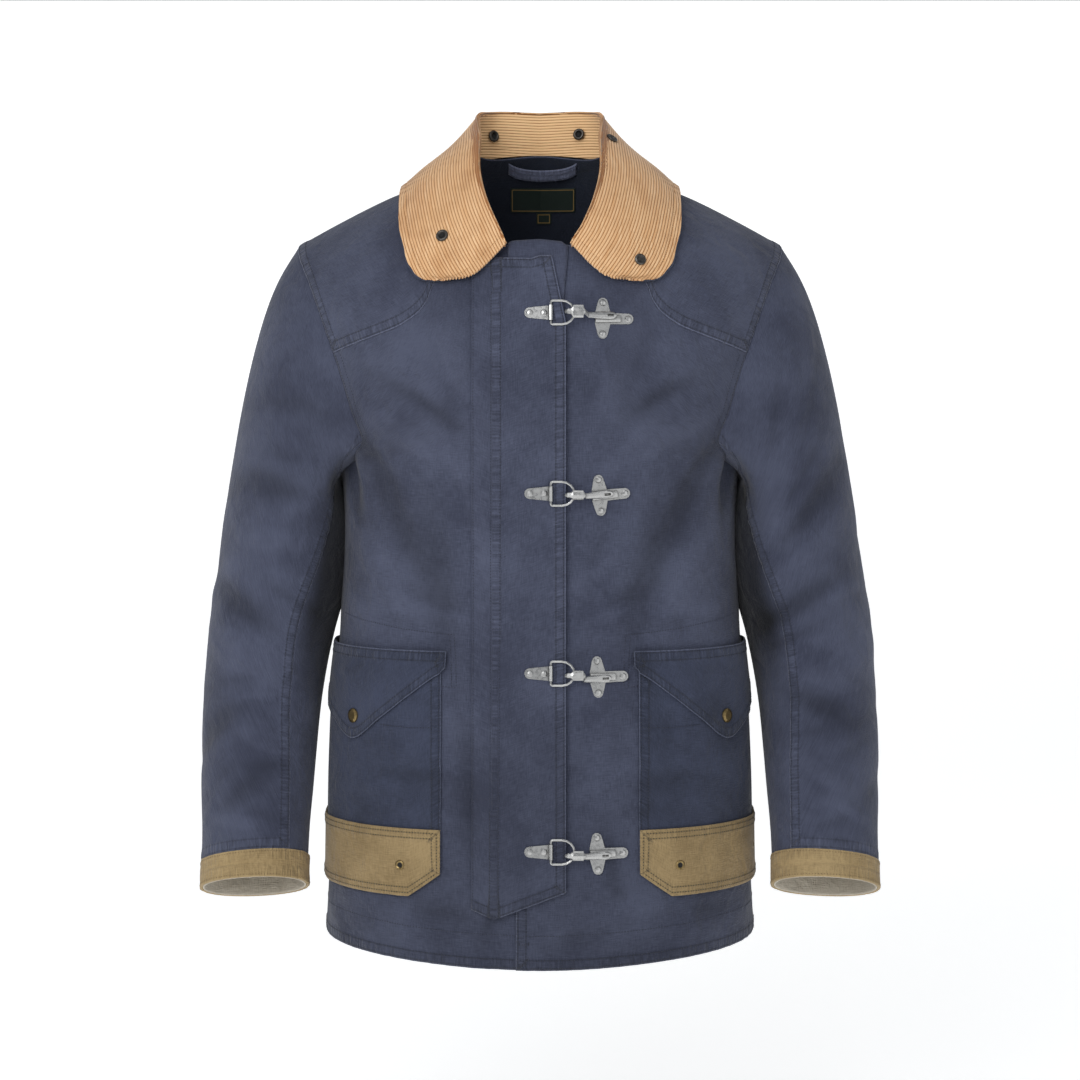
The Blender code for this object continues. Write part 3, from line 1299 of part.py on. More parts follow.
def add_studs(dark, brass):
    radius = COLLAR_STUD[0][0]
    for stud in COLLAR_STUDS:
        frame = seated(collar_frame(stud.along, stud.across), circle(radius), "collar_top")
        turned(stud.name, COLLAR_STUD, frame, dark)
    for suffix, side in (("right", -1), ("left", 1)):
        frame = frame_at(side * POCKET_STUD_X, POCKET_STUD_Z, 0.0)
        frame = seated(frame, circle(POCKET_STUD[0][0]), f"pocket_flap_{suffix}")
        turned(f"pocket_stud_{suffix}", POCKET_STUD, frame, brass)
        for number, (x, z) in enumerate(EYELETS, 1):
            frame = frame_at(side * x, z, 0.0)
            frame = seated(frame, circle(EYELET_RADIUS + EYELET_WIRE), f"pocket_band_{suffix}")
            points = [(a, -EYELET_WIRE, b) for a, b in circle(EYELET_RADIUS)]
            add_wire(f"eyelet_{suffix}_{number}", points, EYELET_WIRE, frame, brass, 0)


clear_scene()
jacket = new_collection("fireman_jacket")
cutters = new_collection("cutters", hidden=True)

navy_canvas = new_material("navy_canvas", NAVY, 0.85)
khaki_canvas = new_material("khaki_canvas", KHAKI, 0.85)
tan_corduroy = new_material("tan_corduroy", TAN, 0.90)
plated_steel = new_material("plated_steel", STEEL, 0.30, 1.0)
old_brass = new_material("old_brass", BRASS, 0.40, 1.0)
dark_metal = new_material("dark_metal", DARK_METAL, 0.45, 1.0)
grey_twill = new_material("grey_twill", GREY, 0.85)
woven_label = new_material("woven_label", LABEL_GREEN, 0.80)

add_back(navy_canvas)
add_fronts(navy_canvas)
add_yoke("yoke_right", -1, navy_canvas)
add_yoke("yoke_left", 1, navy_canvas)
add_sleeve("right", -1, navy_canvas, khaki_canvas, grey_twill)
add_sleeve("left", 1, navy_canvas, khaki_canvas, grey_twill)
add_collar(tan_corduroy, navy_canvas)
add_placket_facing(navy_canvas)
add_storm_flap(navy_canvas)
for pocket_side, direction in (("right", -1), ("left", 1)):
    add_pocket(f"pocket_{pocket_side}", direction, navy_canvas)
    add_pocket_band(f"pocket_band_{pocket_side}", direction, khaki_canvas)
    add_pocket_flap(f"pocket_flap_{pocket_side}", direction, navy_canvas)
add_hanger_loop(navy_canvas)
add_label("neck_label", -0.031, 0.037, -0.003, 0.021, 0.0009, woven_label)
add_label("size_tab", -0.004, 0.012, -0.015, -0.0035, 0.0009, woven_label)
add_clasps(plated_steel)
add_studs(dark_metal, old_brass)
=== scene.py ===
import math

import bmesh
import bpy
import numpy as np
from mathutils import Matrix, Vector


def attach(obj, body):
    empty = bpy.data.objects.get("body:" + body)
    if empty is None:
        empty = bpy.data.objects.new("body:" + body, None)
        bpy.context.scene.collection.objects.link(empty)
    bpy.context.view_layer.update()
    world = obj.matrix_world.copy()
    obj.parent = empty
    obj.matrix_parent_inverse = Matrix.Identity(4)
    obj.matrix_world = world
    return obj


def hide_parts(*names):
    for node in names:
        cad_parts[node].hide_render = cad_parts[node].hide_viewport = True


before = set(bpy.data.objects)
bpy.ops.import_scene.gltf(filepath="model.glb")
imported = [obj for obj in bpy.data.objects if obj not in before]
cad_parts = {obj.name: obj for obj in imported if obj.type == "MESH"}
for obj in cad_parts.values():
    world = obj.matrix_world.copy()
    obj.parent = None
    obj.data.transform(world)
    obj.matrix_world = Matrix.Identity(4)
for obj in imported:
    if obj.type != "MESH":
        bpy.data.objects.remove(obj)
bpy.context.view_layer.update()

# Camera. It stands level in front of the jacket, and its lens takes in 1.08 m at the middle of it.
# The picture is square and shifted down, so that the upright lines stay upright.
DISTANCE = 2.2
VIEW_WIDTH = 1.080
EYE_HEIGHT = -0.210
lens = bpy.data.cameras.new("camera")
lens.sensor_width = 36
lens.lens = 36 * DISTANCE / VIEW_WIDTH
lens.shift_y = -130 / 1080
camera = bpy.data.objects.new("camera", lens)
camera.location = (0, -DISTANCE, EYE_HEIGHT)
camera.rotation_euler = (math.pi / 2, 0, 0)
bpy.context.scene.collection.objects.link(camera)
bpy.context.scene.camera = camera
bpy.context.scene.view_settings.view_transform = "Standard"

# Studio. A plain pale floor well below the hem that curves up into the backdrop, a dim surround,
# one large soft light to the left of the camera, and weaker ones at the sides and above.
FLOOR_HEIGHT = -1.02


def linear(code):
    """Linear colour of an sRGB hex value."""
    parts = [int(code[at : at + 2], 16) / 255 for at in (0, 2, 4)]
    return (*(c / 12.92 if c <= 0.04045 else ((c + 0.055) / 1.055) ** 2.4 for c in parts), 1.0)


def add_node(tree, kind, inputs=None, **settings):
    """A node with its settings, its inputs given as values or as sockets to link."""
    node = tree.nodes.new(kind)
    for key, value in settings.items():
        setattr(node, key, value)
    for key, value in (inputs or {}).items():
        if isinstance(value, bpy.types.NodeSocket):
            tree.links.new(value, node.inputs[key])
        else:
            node.inputs[key].default_value = value
    return node


def ranged(tree, value, low, high, to_low=0.0, to_high=1.0, kind="LINEAR"):
    """A value carried from one range to another, held at its ends."""
    return add_node(tree, "ShaderNodeMapRange", {
        "Value": value, "From Min": low, "From Max": high, "To Min": to_low, "To Max": to_high,
    }, interpolation_type=kind).outputs["Result"]


def reckon(tree, operation, *values):
    """A sum, product or other reckoning on values or sockets."""
    return add_node(tree, "ShaderNodeMath", dict(enumerate(values)), operation=operation).outputs[0]


def blend(tree, share, start, end, kind="MIX"):
    """One colour into another."""
    return add_node(tree, "ShaderNodeMix", {
        "Factor": share, 6: start, 7: end}, data_type="RGBA", blend_type=kind).outputs[2]


def noise(tree, vector, scale, detail, **more):
    """Cloudy noise between 0 and 1."""
    return add_node(tree, "ShaderNodeTexNoise", {
        "Vector": vector, "Scale": scale, "Detail": detail, **more}).outputs["Fac"]


def raised(tree, height, strength, distance, **more):
    """A normal bent by a height."""
    return add_node(tree, "ShaderNodeBump", {
        "Height": height, "Strength": strength, "Distance": distance, **more}).outputs["Normal"]


def stretched(tree, vector, scale):
    """Coordinates drawn out by a scale on each axis."""
    return add_node(tree, "ShaderNodeMapping", {"Vector": vector, "Scale": scale}).outputs["Vector"]


def parts_of(tree, uv_map):
    """The two coordinates of a UV map."""
    uv = add_node(tree, "ShaderNodeUVMap", uv_map=uv_map)
    return add_node(tree, "ShaderNodeSeparateXYZ", {"Vector": uv.outputs["UV"]}).outputs


def new_material(name, colour, roughness, metallic=0.0):
    """A material and its tree and shader."""
    made = bpy.data.materials.new(name)
    made.use_nodes = True
    shader = made.node_tree.nodes["Principled BSDF"]
    shader.inputs["Base Color"].default_value = linear(colour)
    shader.inputs["Roughness"].default_value = roughness
    shader.inputs["Metallic"].default_value = metallic
    return made, made.node_tree, shader


# Painted studio floor: matt and nearly white.
floor_paint, floor_tree, floor_shader = new_material("matt_floor_paint", "F4F4F3", 0.9)
floor_noise = add_node(floor_tree, "ShaderNodeTexNoise", {"Scale": 3.0, "Detail": 3.0})
floor_bump = add_node(
    floor_tree, "ShaderNodeBump", {"Strength": 0.05, "Height": floor_noise.outputs["Fac"]}
)
floor_tree.links.new(floor_bump.outputs["Normal"], floor_shader.inputs["Normal"])
floor_shader.inputs["Emission Color"].default_value = (1, 1, 1, 1)
floor_shader.inputs["Emission Strength"].default_value = 0.5
SWEEP_START = 2.0  # where the floor begins to curve up behind the jacket
SWEEP_RADIUS = 1.2
FLOOR_HALF = 4.0
FLOOR_FRONT = -3.5
ground = bmesh.new()
bmesh.ops.create_grid(ground, x_segments=2, y_segments=60, size=FLOOR_HALF)
for vert in ground.verts:
    run = vert.co.y + FLOOR_HALF + FLOOR_FRONT
    turn = min(max((run - SWEEP_START) / SWEEP_RADIUS, 0), math.pi / 2)
    rest = max(run - SWEEP_START - SWEEP_RADIUS * math.pi / 2, 0)
    vert.co.y = min(run, SWEEP_START) + SWEEP_RADIUS * math.sin(turn)
    vert.co.z = FLOOR_HEIGHT + SWEEP_RADIUS * (1 - math.cos(turn)) + rest
floor_mesh = bpy.data.meshes.new("floor")
ground.to_mesh(floor_mesh)
ground.free()
floor_mesh.shade_smooth()
floor_mesh.materials.append(floor_paint)
floor = bpy.data.objects.new("floor", floor_mesh)
bpy.context.scene.collection.objects.link(floor)

# Turn, rise and distance of each light from the chest, its size in metres and its power in watts.
LIGHTS = (
    ("key", -26, 20, 2.0, 1.3, 18.0),
    ("fill", 32, 8, 2.6, 1.8, 7.0),
    ("left_edge", 105, 20, 2.2, 1.0, 3.0),
    ("right_edge", -105, 20, 2.2, 1.0, 3.0),
    ("above", -10, 60, 1.8, 1.2, 3.5),
)
for name, turn, rise, away, size, power in LIGHTS:
    lamp = bpy.data.lights.new(name, "AREA")
    lamp.shape = "DISK"
    lamp.size = size
    lamp.energy = power
    turn, rise = math.radians(turn), math.radians(rise)
    toward = Vector((math.sin(turn) * math.cos(rise), -math.cos(turn) * math.cos(rise), math.sin(rise)))
    lit = bpy.data.objects.new(name, lamp)
    lit.location = Vector((0, 0, -0.3)) + toward * away
    lit.rotation_euler = toward.to_track_quat("Z", "Y").to_euler()
    lit.visible_camera = False
    bpy.context.scene.collection.objects.link(lit)

surround = bpy.data.worlds.new("pale_surround")
surround.use_nodes = True
bpy.context.scene.world = surround
world_tree = surround.node_tree
backdrop = world_tree.nodes["Background"]
backdrop.inputs["Color"].default_value = (0.93, 0.96, 1, 1)
backdrop.inputs["Strength"].default_value = 0.38

# The torso's form, which every panel of the shell lies on: level outlines from the hem to the
# chest, then a dome over the shoulders to the seam along the top. Places are given round the body
# in radians from the front centre, and by height, which above the dome's foot counts along it.
CLOTH = 0.0018
GAP = 0.0003
LAYER = CLOTH + GAP
HEM_HEIGHT = -0.733
HEM_SIDE_RISE = 0.013
UNDERARM = -0.262
DOME_FOOT = -0.160
DOME_ARC = 0.260
DOME_TOP = DOME_FOOT + DOME_ARC
SHOULDER_SPREAD = 0.040
RIDGE_Y = 0.005
SQUARENESS = 2.5
FOLD_GIRTH = 0.19

# Height, half width, depth in front and depth behind.
SECTIONS = np.array((
    (-0.745, 0.2130, 0.150, 0.140),
    (-0.700, 0.2110, 0.148, 0.137),
    (-0.660, 0.2085, 0.146, 0.134),
    (-0.550, 0.2040, 0.139, 0.122),
    (-0.470, 0.2010, 0.134, 0.113),
    (-0.415, 0.1965, 0.130, 0.108),
    (-0.340, 0.1935, 0.132, 0.115),
    (-0.262, 0.1965, 0.136, 0.124),
    (-0.210, 0.2080, 0.139, 0.128),
    (-0.160, 0.2225, 0.140, 0.130),
))
# Distance from the centre, and height, of the seam along the top of the shoulder.
SHOULDER_LINE = np.array((
    (0.000, 0.080), (0.050, 0.062), (0.078, 0.048), (0.105, 0.028), (0.134, 0.008),
    (0.150, 0.001), (0.200, -0.024), (0.240, -0.046), (0.275, -0.066),
))
# Height, and distance from the centre in front and behind.
ARMHOLE = np.array((
    (0.100, 0.2400, 0.2400), (0.009, 0.2366, 0.2300), (-0.053, 0.2250, 0.2140),
    (-0.107, 0.2120, 0.1990), (-0.154, 0.1990, 0.1880), (-0.188, 0.1884, 0.1820),
    (-0.215, 0.1808, 0.1790), (-0.240, 0.1730, 0.1770), (-0.252, 0.1790, 0.1810),
    (-0.262, 0.1965, 0.1965),
))
YOKE_FOOT = -0.154
# Seams as distance from the centre and height.
FRONT_NECK = np.array(((0.0285, -0.0812), (0.0430, -0.0730), (0.0600, -0.0520), (0.0745, -0.0130)))
SIDE_NECK = np.array(((0.0745, -0.0130), (0.0785, 0.0257), (0.0780, 0.1000)))
YOKE_SEAM = np.array((
    (0.0745, -0.0130), (0.0830, -0.0450), (0.0930, -0.0780), (0.1008, -0.0997), (0.1100, -0.1170),
    (0.1290, -0.1290), (0.1520, -0.1370), (0.1710, -0.1430), (0.1990, YOKE_FOOT),
))
BACK_NECK = np.array(((0.0780, 0.1000), (0.0550, 0.0420), (0.0000, 0.0180)))

# Large folds: degrees round the body, height, length, width, depth (+ stands out), lean in degrees.
BODY_FOLDS = (
    (52, -0.300, 0.070, 0.012, -0.0030, 30),
    (60, -0.345, 0.060, 0.014, 0.0022, 38),
    (-54, -0.295, 0.075, 0.013, -0.0032, -27),
    (-63, -0.350, 0.055, 0.013, 0.0024, -40),
    (40, -0.360, 0.090, 0.020, -0.0018, 12),
    (-38, -0.370, 0.080, 0.018, -0.0020, -8),
    (74, -0.560, 0.110, 0.022, 0.0030, 3),
    (-76, -0.545, 0.120, 0.020, 0.0030, -4),
    (120, -0.620, 0.110, 0.024, 0.0040, 5),
    (-125, -0.610, 0.120, 0.026, 0.0040, -4),
    (150, -0.640, 0.100, 0.025, -0.0035, 2),
    (-148, -0.650, 0.100, 0.022, -0.0035, -3),
    (128, -0.300, 0.080, 0.016, -0.0035, -32),
    (-131, -0.290, 0.085, 0.017, -0.0035, 30),
    (160, -0.430, 0.050, 0.018, 0.0025, 20),
    (-165, -0.440, 0.060, 0.016, 0.0022, -24),
)
# Smaller creases that wearing and washing leave, in the same terms.
BODY_CREASES = (
    (38, -0.205, 0.030, 0.006, -0.0011, 58),
    (33, -0.245, 0.038, 0.007, 0.0010, 47),
    (-36, -0.215, 0.034, 0.006, -0.0012, -55),
    (-30, -0.268, 0.030, 0.007, 0.0009, -40),
    (24, -0.330, 0.046, 0.009, -0.0010, 20),
    (-24, -0.315, 0.050, 0.008, 0.0010, -16),
    (30, -0.400, 0.026, 0.006, 0.0011, 78),
    (47, -0.412, 0.030, 0.006, -0.0011, 84),
    (-33, -0.404, 0.030, 0.006, 0.0010, -80),
    (-52, -0.410, 0.026, 0.006, -0.0012, -86),
    (22, -0.520, 0.060, 0.010, 0.0012, 8),
    (-27, -0.560, 0.070, 0.010, -0.0012, -6),
    (26, -0.640, 0.050, 0.009, -0.0013, -12),
    (48, -0.690, 0.030, 0.008, 0.0014, 10),
    (-44, -0.695, 0.030, 0.008, 0.0013, -14),
    (-18, -0.690, 0.026, 0.008, -0.0012, 20),
    (100, -0.480, 0.050, 0.010, -0.0016, 24),
    (-104, -0.470, 0.050, 0.010, -0.0016, -28),
    (140, -0.370, 0.045, 0.010, 0.0015, 66),
    (-142, -0.350, 0.045, 0.010, 0.0014, -62),
    (172, -0.250, 0.070, 0.011, -0.0013, 12),
    (-170, -0.170, 0.060, 0.010, 0.0012, -20),
    (160, -0.540, 0.060, 0.012, 0.0015, -8),
    (-156, -0.520, 0.070, 0.012, -0.0015, 9),
    # Hollows and fullness under the arms.
    (72, -0.268, 0.042, 0.011, -0.0090, 14),
    (-72, -0.268, 0.042, 0.011, -0.0090, -14),
    (90, -0.340, 0.090, 0.022, 0.0045, 0),
    (-90, -0.340, 0.090, 0.022, 0.0045, 0),
    # Drags from the armhole across the chest, and short creases at the waist and pockets.
    (46, -0.190, 0.050, 0.009, -0.0016, 66),
    (-45, -0.196, 0.052, 0.009, -0.0016, -62),
    (50, -0.228, 0.044, 0.008, 0.0014, 60),
    (-50, -0.232, 0.040, 0.008, 0.0014, -58),
    (58, -0.262, 0.036, 0.008, -0.0018, 44),
    (-59, -0.258, 0.036, 0.008, -0.0018, -46),
    (28, -0.170, 0.040, 0.010, 0.0009, 30),
    (-29, -0.175, 0.036, 0.009, 0.0009, -34),
    (20, -0.365, 0.030, 0.007, 0.0009, 62),
    (35, -0.385, 0.034, 0.007, -0.0012, 68),
    (-40, -0.390, 0.036, 0.007, -0.0012, -72),
    (64, -0.398, 0.030, 0.007, 0.0013, 80),
    (-66, -0.402, 0.030, 0.007, 0.0013, -78),
    (17, -0.440, 0.026, 0.007, -0.0010, 76),
    (18, -0.478, 0.030, 0.008, 0.0010, 84),
    (-24, -0.492, 0.030, 0.008, 0.0010, 82),
    (20, -0.585, 0.030, 0.007, 0.0010, 70),
    (33, -0.545, 0.034, 0.007, 0.0011, 76),
    (44, -0.560, 0.032, 0.008, -0.0012, 84),
    (56, -0.548, 0.030, 0.007, 0.0010, 96),
    (40, -0.588, 0.030, 0.007, -0.0010, 90),
    (-35, -0.540, 0.034, 0.007, 0.0011, -74),
    (-46, -0.556, 0.034, 0.008, -0.0012, -86),
    (-58, -0.566, 0.030, 0.007, 0.0011, -95),
    (-41, -0.590, 0.030, 0.007, 0.0010, -82),
    (30, -0.676, 0.034, 0.008, 0.0012, 84),
    (56, -0.684, 0.036, 0.008, -0.0013, 92),
    (-34, -0.680, 0.036, 0.008, -0.0013, -86),
    (-60, -0.676, 0.034, 0.008, 0.0012, -94),
    (70, -0.690, 0.030, 0.009, 0.0014, 64),
    (-72, -0.692, 0.030, 0.009, 0.0014, -60),
    (12, -0.704, 0.028, 0.008, -0.0010, 78),
)


def smooth(keys, values, at):
    """Values at the given keys, on a smooth curve through the rows."""
    values = np.asarray(values, float)
    at = np.asarray(at, float)
    slopes = np.gradient(values, keys, axis=0)
    row = np.clip(np.searchsorted(keys, at, side="right") - 1, 0, len(keys) - 2)
    span = keys[row + 1] - keys[row]
    t = (at - keys[row]) / span
    if values.ndim > 1:
        t = t[..., None]
        span = span[..., None]
    start = values[row] * (1 + 2 * t) * (1 - t) ** 2 + slopes[row] * span * t * (1 - t) ** 2
    end = values[row + 1] * t * t * (3 - 2 * t) + slopes[row + 1] * span * t * t * (t - 1)
    return start + end


def ease(value, start, end):
    """0 before start, 1 after end, smooth between."""
    t = np.clip((value - start) / (end - start), 0.0, 1.0)
    return t * t * (3 - 2 * t)


def spread(count, crowding=0.7):
    """Shares from 0 to 1, closer together at both ends."""
    t = np.linspace(0, 1, count)
    return t - crowding * np.sin(2 * math.pi * t) / (2 * math.pi)


def half_sizes(height):
    level = np.minimum(height, DOME_FOOT)
    rise = np.clip((height - DOME_FOOT) / DOME_ARC, 0, 1) * math.pi / 2
    wide, front, back = np.moveaxis(smooth(SECTIONS[:, 0], SECTIONS[:, 1:], level), -1, 0)
    return wide + SHOULDER_SPREAD * np.sin(rise), front, back


def skin(around, height):
    """Points of the torso's form."""
    around, height = np.broadcast_arrays(np.asarray(around, float), np.asarray(height, float))
    wide, front, back = half_sizes(height)
    sine, cosine = np.sin(around), np.cos(around)
    deep = np.where(cosine > 0, front, back)
    reach = np.abs(sine / wide) ** SQUARENESS + np.abs(cosine / deep) ** SQUARENESS
    reach = reach ** (-1 / SQUARENESS)
    x, y = reach * sine, -reach * cosine
    rise = np.clip((height - DOME_FOOT) / DOME_ARC, 0, 1) * math.pi / 2
    ridge = smooth(SHOULDER_LINE[:, 0], SHOULDER_LINE[:, 1], np.abs(x))
    over = height > DOME_FOOT
    z = np.where(over, DOME_FOOT + (ridge - DOME_FOOT) * np.sin(rise), height)
    y = np.where(over, RIDGE_Y + (y - RIDGE_Y) * np.cos(rise), y)
    return np.stack([x, y, z], axis=-1)


def unit(vectors):
    return vectors / np.maximum(np.linalg.norm(vectors, axis=-1, keepdims=True), 1e-12)


def skin_normal(around, height):
    around, height = np.broadcast_arrays(np.asarray(around, float), np.asarray(height, float))
    step = 1e-4
    below = np.minimum(height, DOME_TOP - 4 * step)
    turn = skin(around + step, below) - skin(around - step, below)
    climb = skin(around, below + step) - skin(around, below - step)
    return unit(np.cross(turn, climb))


def folded(folds, sideways, up):
    """Sum of soft troughs and ridges on a surface rolled out flat."""
    total = 0
    for place, height, length, width, depth, lean in folds:
        aside, climb = sideways(place), up(height)
        lean = math.radians(lean)
        across = aside * math.cos(lean) - climb * math.sin(lean)
        along = aside * math.sin(lean) + climb * math.cos(lean)
        total = total + depth * np.exp(-((across / width) ** 2 + (along / length) ** 2))
    return total


def turned_from(turns, place):
    """Angle from a place given in degrees, the short way round."""
    return np.mod(turns - math.radians(place) + math.pi, 2 * math.pi) - math.pi


def body_relief(around, height):
    turns = np.mod(around + math.pi, 2 * math.pi) - math.pi
    return folded(
        BODY_FOLDS + BODY_CREASES,
        lambda place: turned_from(turns, place) * FOLD_GIRTH,
        lambda level: height - level,
    )


def around_at(x, height, back=False):
    """How far round the body its form has this x, in radians with x's sign."""
    wide, front, rear = half_sizes(height)
    share = np.clip(np.abs(x) / wide, 0, 1)
    depth = (rear if back else front) * (1 - share**SQUARENESS) ** (1 / SQUARENESS)
    turn = np.arctan2(np.abs(x), depth)
    turn = math.pi - turn if back else turn
    return np.where(np.asarray(x) < 0, -turn, turn)


def height_at(x, z):
    """Height along the dome at which the form has this z."""
    ridge = smooth(SHOULDER_LINE[:, 0], SHOULDER_LINE[:, 1], np.abs(x))
    climb = np.clip((z - DOME_FOOT) / (ridge - DOME_FOOT), 0, 1)
    return np.where(z > DOME_FOOT, DOME_FOOT + DOME_ARC * np.arcsin(climb) / (math.pi / 2), z)


def seam_path(seam, shares, back=False):
    """Places along a seam that a table gives as distance from the centre and height."""
    around = around_at(seam[:, 0], seam[:, 1], back)
    steps = np.linalg.norm(np.diff(skin(around, seam[:, 1]), axis=0), axis=1)
    keys = np.concatenate([[0], np.cumsum(steps)]) / steps.sum()
    return smooth(keys, np.stack([around, seam[:, 1]], axis=-1), shares)


def armhole_path(shares, back=False):
    """Places along the armhole, from the shoulder point at 0 to the underarm at 1."""
    return seam_path(ARMHOLE[:, (2, 0)] if back else ARMHOLE[:, (1, 0)], shares, back)


armhole_shares = np.linspace(0, 1, 400)
YOKE_SHARE = float(np.interp(-YOKE_FOOT, -armhole_path(armhole_shares)[:, 1], armhole_shares))


def coons(bottom, top, left, right, v=None, u=None):
    """Grid between four edges: bottom and top by column, left and right by row."""
    v = (np.linspace(0, 1, len(left)) if v is None else v)[:, None, None]
    u = (np.linspace(0, 1, len(bottom)) if u is None else u)[None, :, None]
    ruled = (1 - v) * bottom[None] + v * top[None] + (1 - u) * left[:, None] + u * right[:, None]
    low = (1 - u) * bottom[0] + u * bottom[-1]
    high = (1 - u) * top[0] + u * top[-1]
    return ruled - (1 - v) * low - v * high


# Back panel. One piece of navy cotton canvas, dyed after sewing and washed soft, so that its
# seams are rubbed pale and pucker between their rows of stitches. Its inside is painted darker,
# as shade. The armhole and hem are turned and topstitched, the side seams are plain.
NAVY_DEEP = "343849"
NAVY_PALE = "494E61"
NAVY_FADED = "757B94"
NAVY_INSIDE = "262C3A"
NAVY_THREAD = "272B39"
STITCH_PITCH = 0.0028
STITCH = (0.0016, 0.0010, 0.0006)  # length, width and height of a stitch
FIRST_ROW = 0.0020  # of the topstitching, from the edge
SECOND_ROW = 0.0095
FOLDED_EDGE = 0.0110  # width of the turned cloth under the topstitching
FOLD_RISE = 0.0006
ROW_SINK = 0.00030  # how far a row of stitches is drawn in
NO_SEAM = 0.5  # distance given where no seam is near


# Places across the turned edge of a seam, as distance from it in metres.
BAND_ENDS = (0.0125, 0.0090)
RIM_ENDS = (0.0014, 0.0004)
ROW_HALF_WIDTH = 0.00075


def woven(name, deep, pale, faded, roughness=0.86, rub=1.0, rows=(0.0020, 0.0095)):
    """Canvas: plain weave with uneven yarns, mottled by the wash, rubbed pale at seams."""
    made, tree, shader = new_material(name, deep, roughness)
    shader.inputs["Sheen Weight"].default_value = 0.12
    shader.inputs["Sheen Roughness"].default_value = 0.5
    shader.inputs["Specular IOR Level"].default_value = 0.25
    grain = add_node(tree, "ShaderNodeUVMap", uv_map="grain").outputs["UV"]
    place = add_node(tree, "ShaderNodeTexCoord").outputs["Object"]
    wear_and_shade = add_node(tree, "ShaderNodeAttribute", attribute_name="wear_and_shade").outputs["Fac"]
    seam = parts_of(tree, "seam")
    run, off = seam["X"], seam["Y"]
    # Yarns are 0.5 mm apart in the real cloth and drawn 1 mm apart here, so that they show.
    warp = noise(tree, stretched(tree, grain, (1000, 110, 1)), 1.0, 2.0)
    weft = noise(tree, stretched(tree, grain, (110, 1000, 1)), 1.0, 2.0)
    slub = reckon(tree, "ADD", warp, weft)
    mottle = noise(tree, place, 13.0, 5.0, Roughness=0.6)
    tone = ranged(tree, reckon(tree, "MULTIPLY_ADD", slub, 0.45, mottle), 0.78, 1.12)
    body = blend(tree, tone, linear(deep), linear(pale))
    # Ticks across the turned edge, where the thread draws the cloth in.
    ticking = add_node(tree, "ShaderNodeCombineXYZ", {
        "X": reckon(tree, "MULTIPLY", run, 480.0), "Y": reckon(tree, "MULTIPLY", off, 60.0)}).outputs[0]
    ticks = ranged(tree, noise(tree, ticking, 1.0, 1.0, Distortion=0.3), 0.30, 0.72)
    band = ranged(tree, off, *BAND_ENDS, kind="SMOOTHSTEP")
    rim = ranged(tree, off, *RIM_ENDS, kind="SMOOTHSTEP")
    drawn = reckon(tree, "MULTIPLY", ticks, band)
    rubbed = reckon(tree, "MULTIPLY_ADD", drawn, 0.12 * rub, wear_and_shade)
    rubbed = reckon(tree, "MULTIPLY_ADD", rim, 0.50 * rub, rubbed)
    rubbed = add_node(tree, "ShaderNodeClamp", {"Value": rubbed}).outputs["Result"]
    colour = blend(tree, rubbed, body, linear(faded))
    # Painted light and shade on the turned edge's puckers, painted shade at its stitches and in creases.
    pucker_light_and_shade = ranged(tree, ticks, 0.0, 1.0, 1.0 - 0.24 * rub, 1.0 + 0.06 * rub)
    in_band = add_node(tree, "ShaderNodeMix", {
        "Factor": band, 2: 1.0, 3: pucker_light_and_shade}, data_type="FLOAT").outputs[0]
    shade = reckon(tree, "MULTIPLY", ranged(tree, wear_and_shade, -1.0, 0.0, 0.10, 1.0), in_band)
    for row in rows:
        near = reckon(tree, "COMPARE", off, row, ROW_HALF_WIDTH)
        shade = reckon(tree, "MULTIPLY", shade, reckon(tree, "MULTIPLY_ADD", near, -0.22, 1.0))
    tree.links.new(blend(tree, 1.0, colour, shade, "MULTIPLY"), shader.inputs["Base Color"])
    # Small crumples left by washing, 10 to 30 mm across, under the yarns and the ticks.
    crumples = raised(tree, noise(tree, place, 42.0, 4.0, Distortion=0.6), 0.8, 0.0055)
    relief = reckon(tree, "MULTIPLY_ADD", drawn, 1.6, slub)
    tree.links.new(raised(tree, relief, 0.75, 0.0008, Normal=crumples), shader.inputs["Normal"])
    return made


def lengths(points, axis):
    """Distance from the first row or column, along the cloth."""
    steps = np.linalg.norm(np.diff(points, axis=axis), axis=-1)
    return np.concatenate([np.zeros_like(np.take(steps, [0], axis)), np.cumsum(steps, axis)], axis)


def seam_reach(points, edges):
    """Run along, and distance from, the nearest of the edges that are topstitched."""
    across, up = lengths(points, 1), lengths(points, 0)
    best_off = np.full(across.shape, NO_SEAM)
    best_run = np.zeros(across.shape)
    for edge in edges:
        off = {"left": across, "right": across[:, -1:] - across, "bottom": up, "top": up[-1:] - up}[edge]
        run = {"left": up[:, :1], "right": up[:, -1:], "bottom": across[:1], "top": across[-1:]}[edge]
        nearer = off < best_off
        best_run = np.where(nearer, run + 3.0 * ord(edge[0]), best_run)
        best_off = np.minimum(best_off, off)
    return best_run, best_off


PUCKER_DEPTH = 0.00035
MID_BAND = 0.0050  # distance given inside a puckered band, halfway between its rows


def puckers(run, off, seed, depth, pitch=0.011, reach=0.012):
    """Uneven waves that run in from a stitched edge and die away."""
    wander = np.random.default_rng(seed)
    total = 0
    for octave in (1.0, 1.37, 1.9, 2.6):
        phase, slant = wander.uniform(0, 2 * math.pi), wander.uniform(-0.9, 0.9)
        total = total + np.sin(2 * math.pi * (run + slant * off) * octave / pitch / 1.6 + phase) / octave
    swell = 0.65 + 0.35 * np.sin(run * 41 + seed) * np.sin(run * 17 + 2 * seed)
    return depth * swell * total * np.exp(-((off / reach) ** 2))


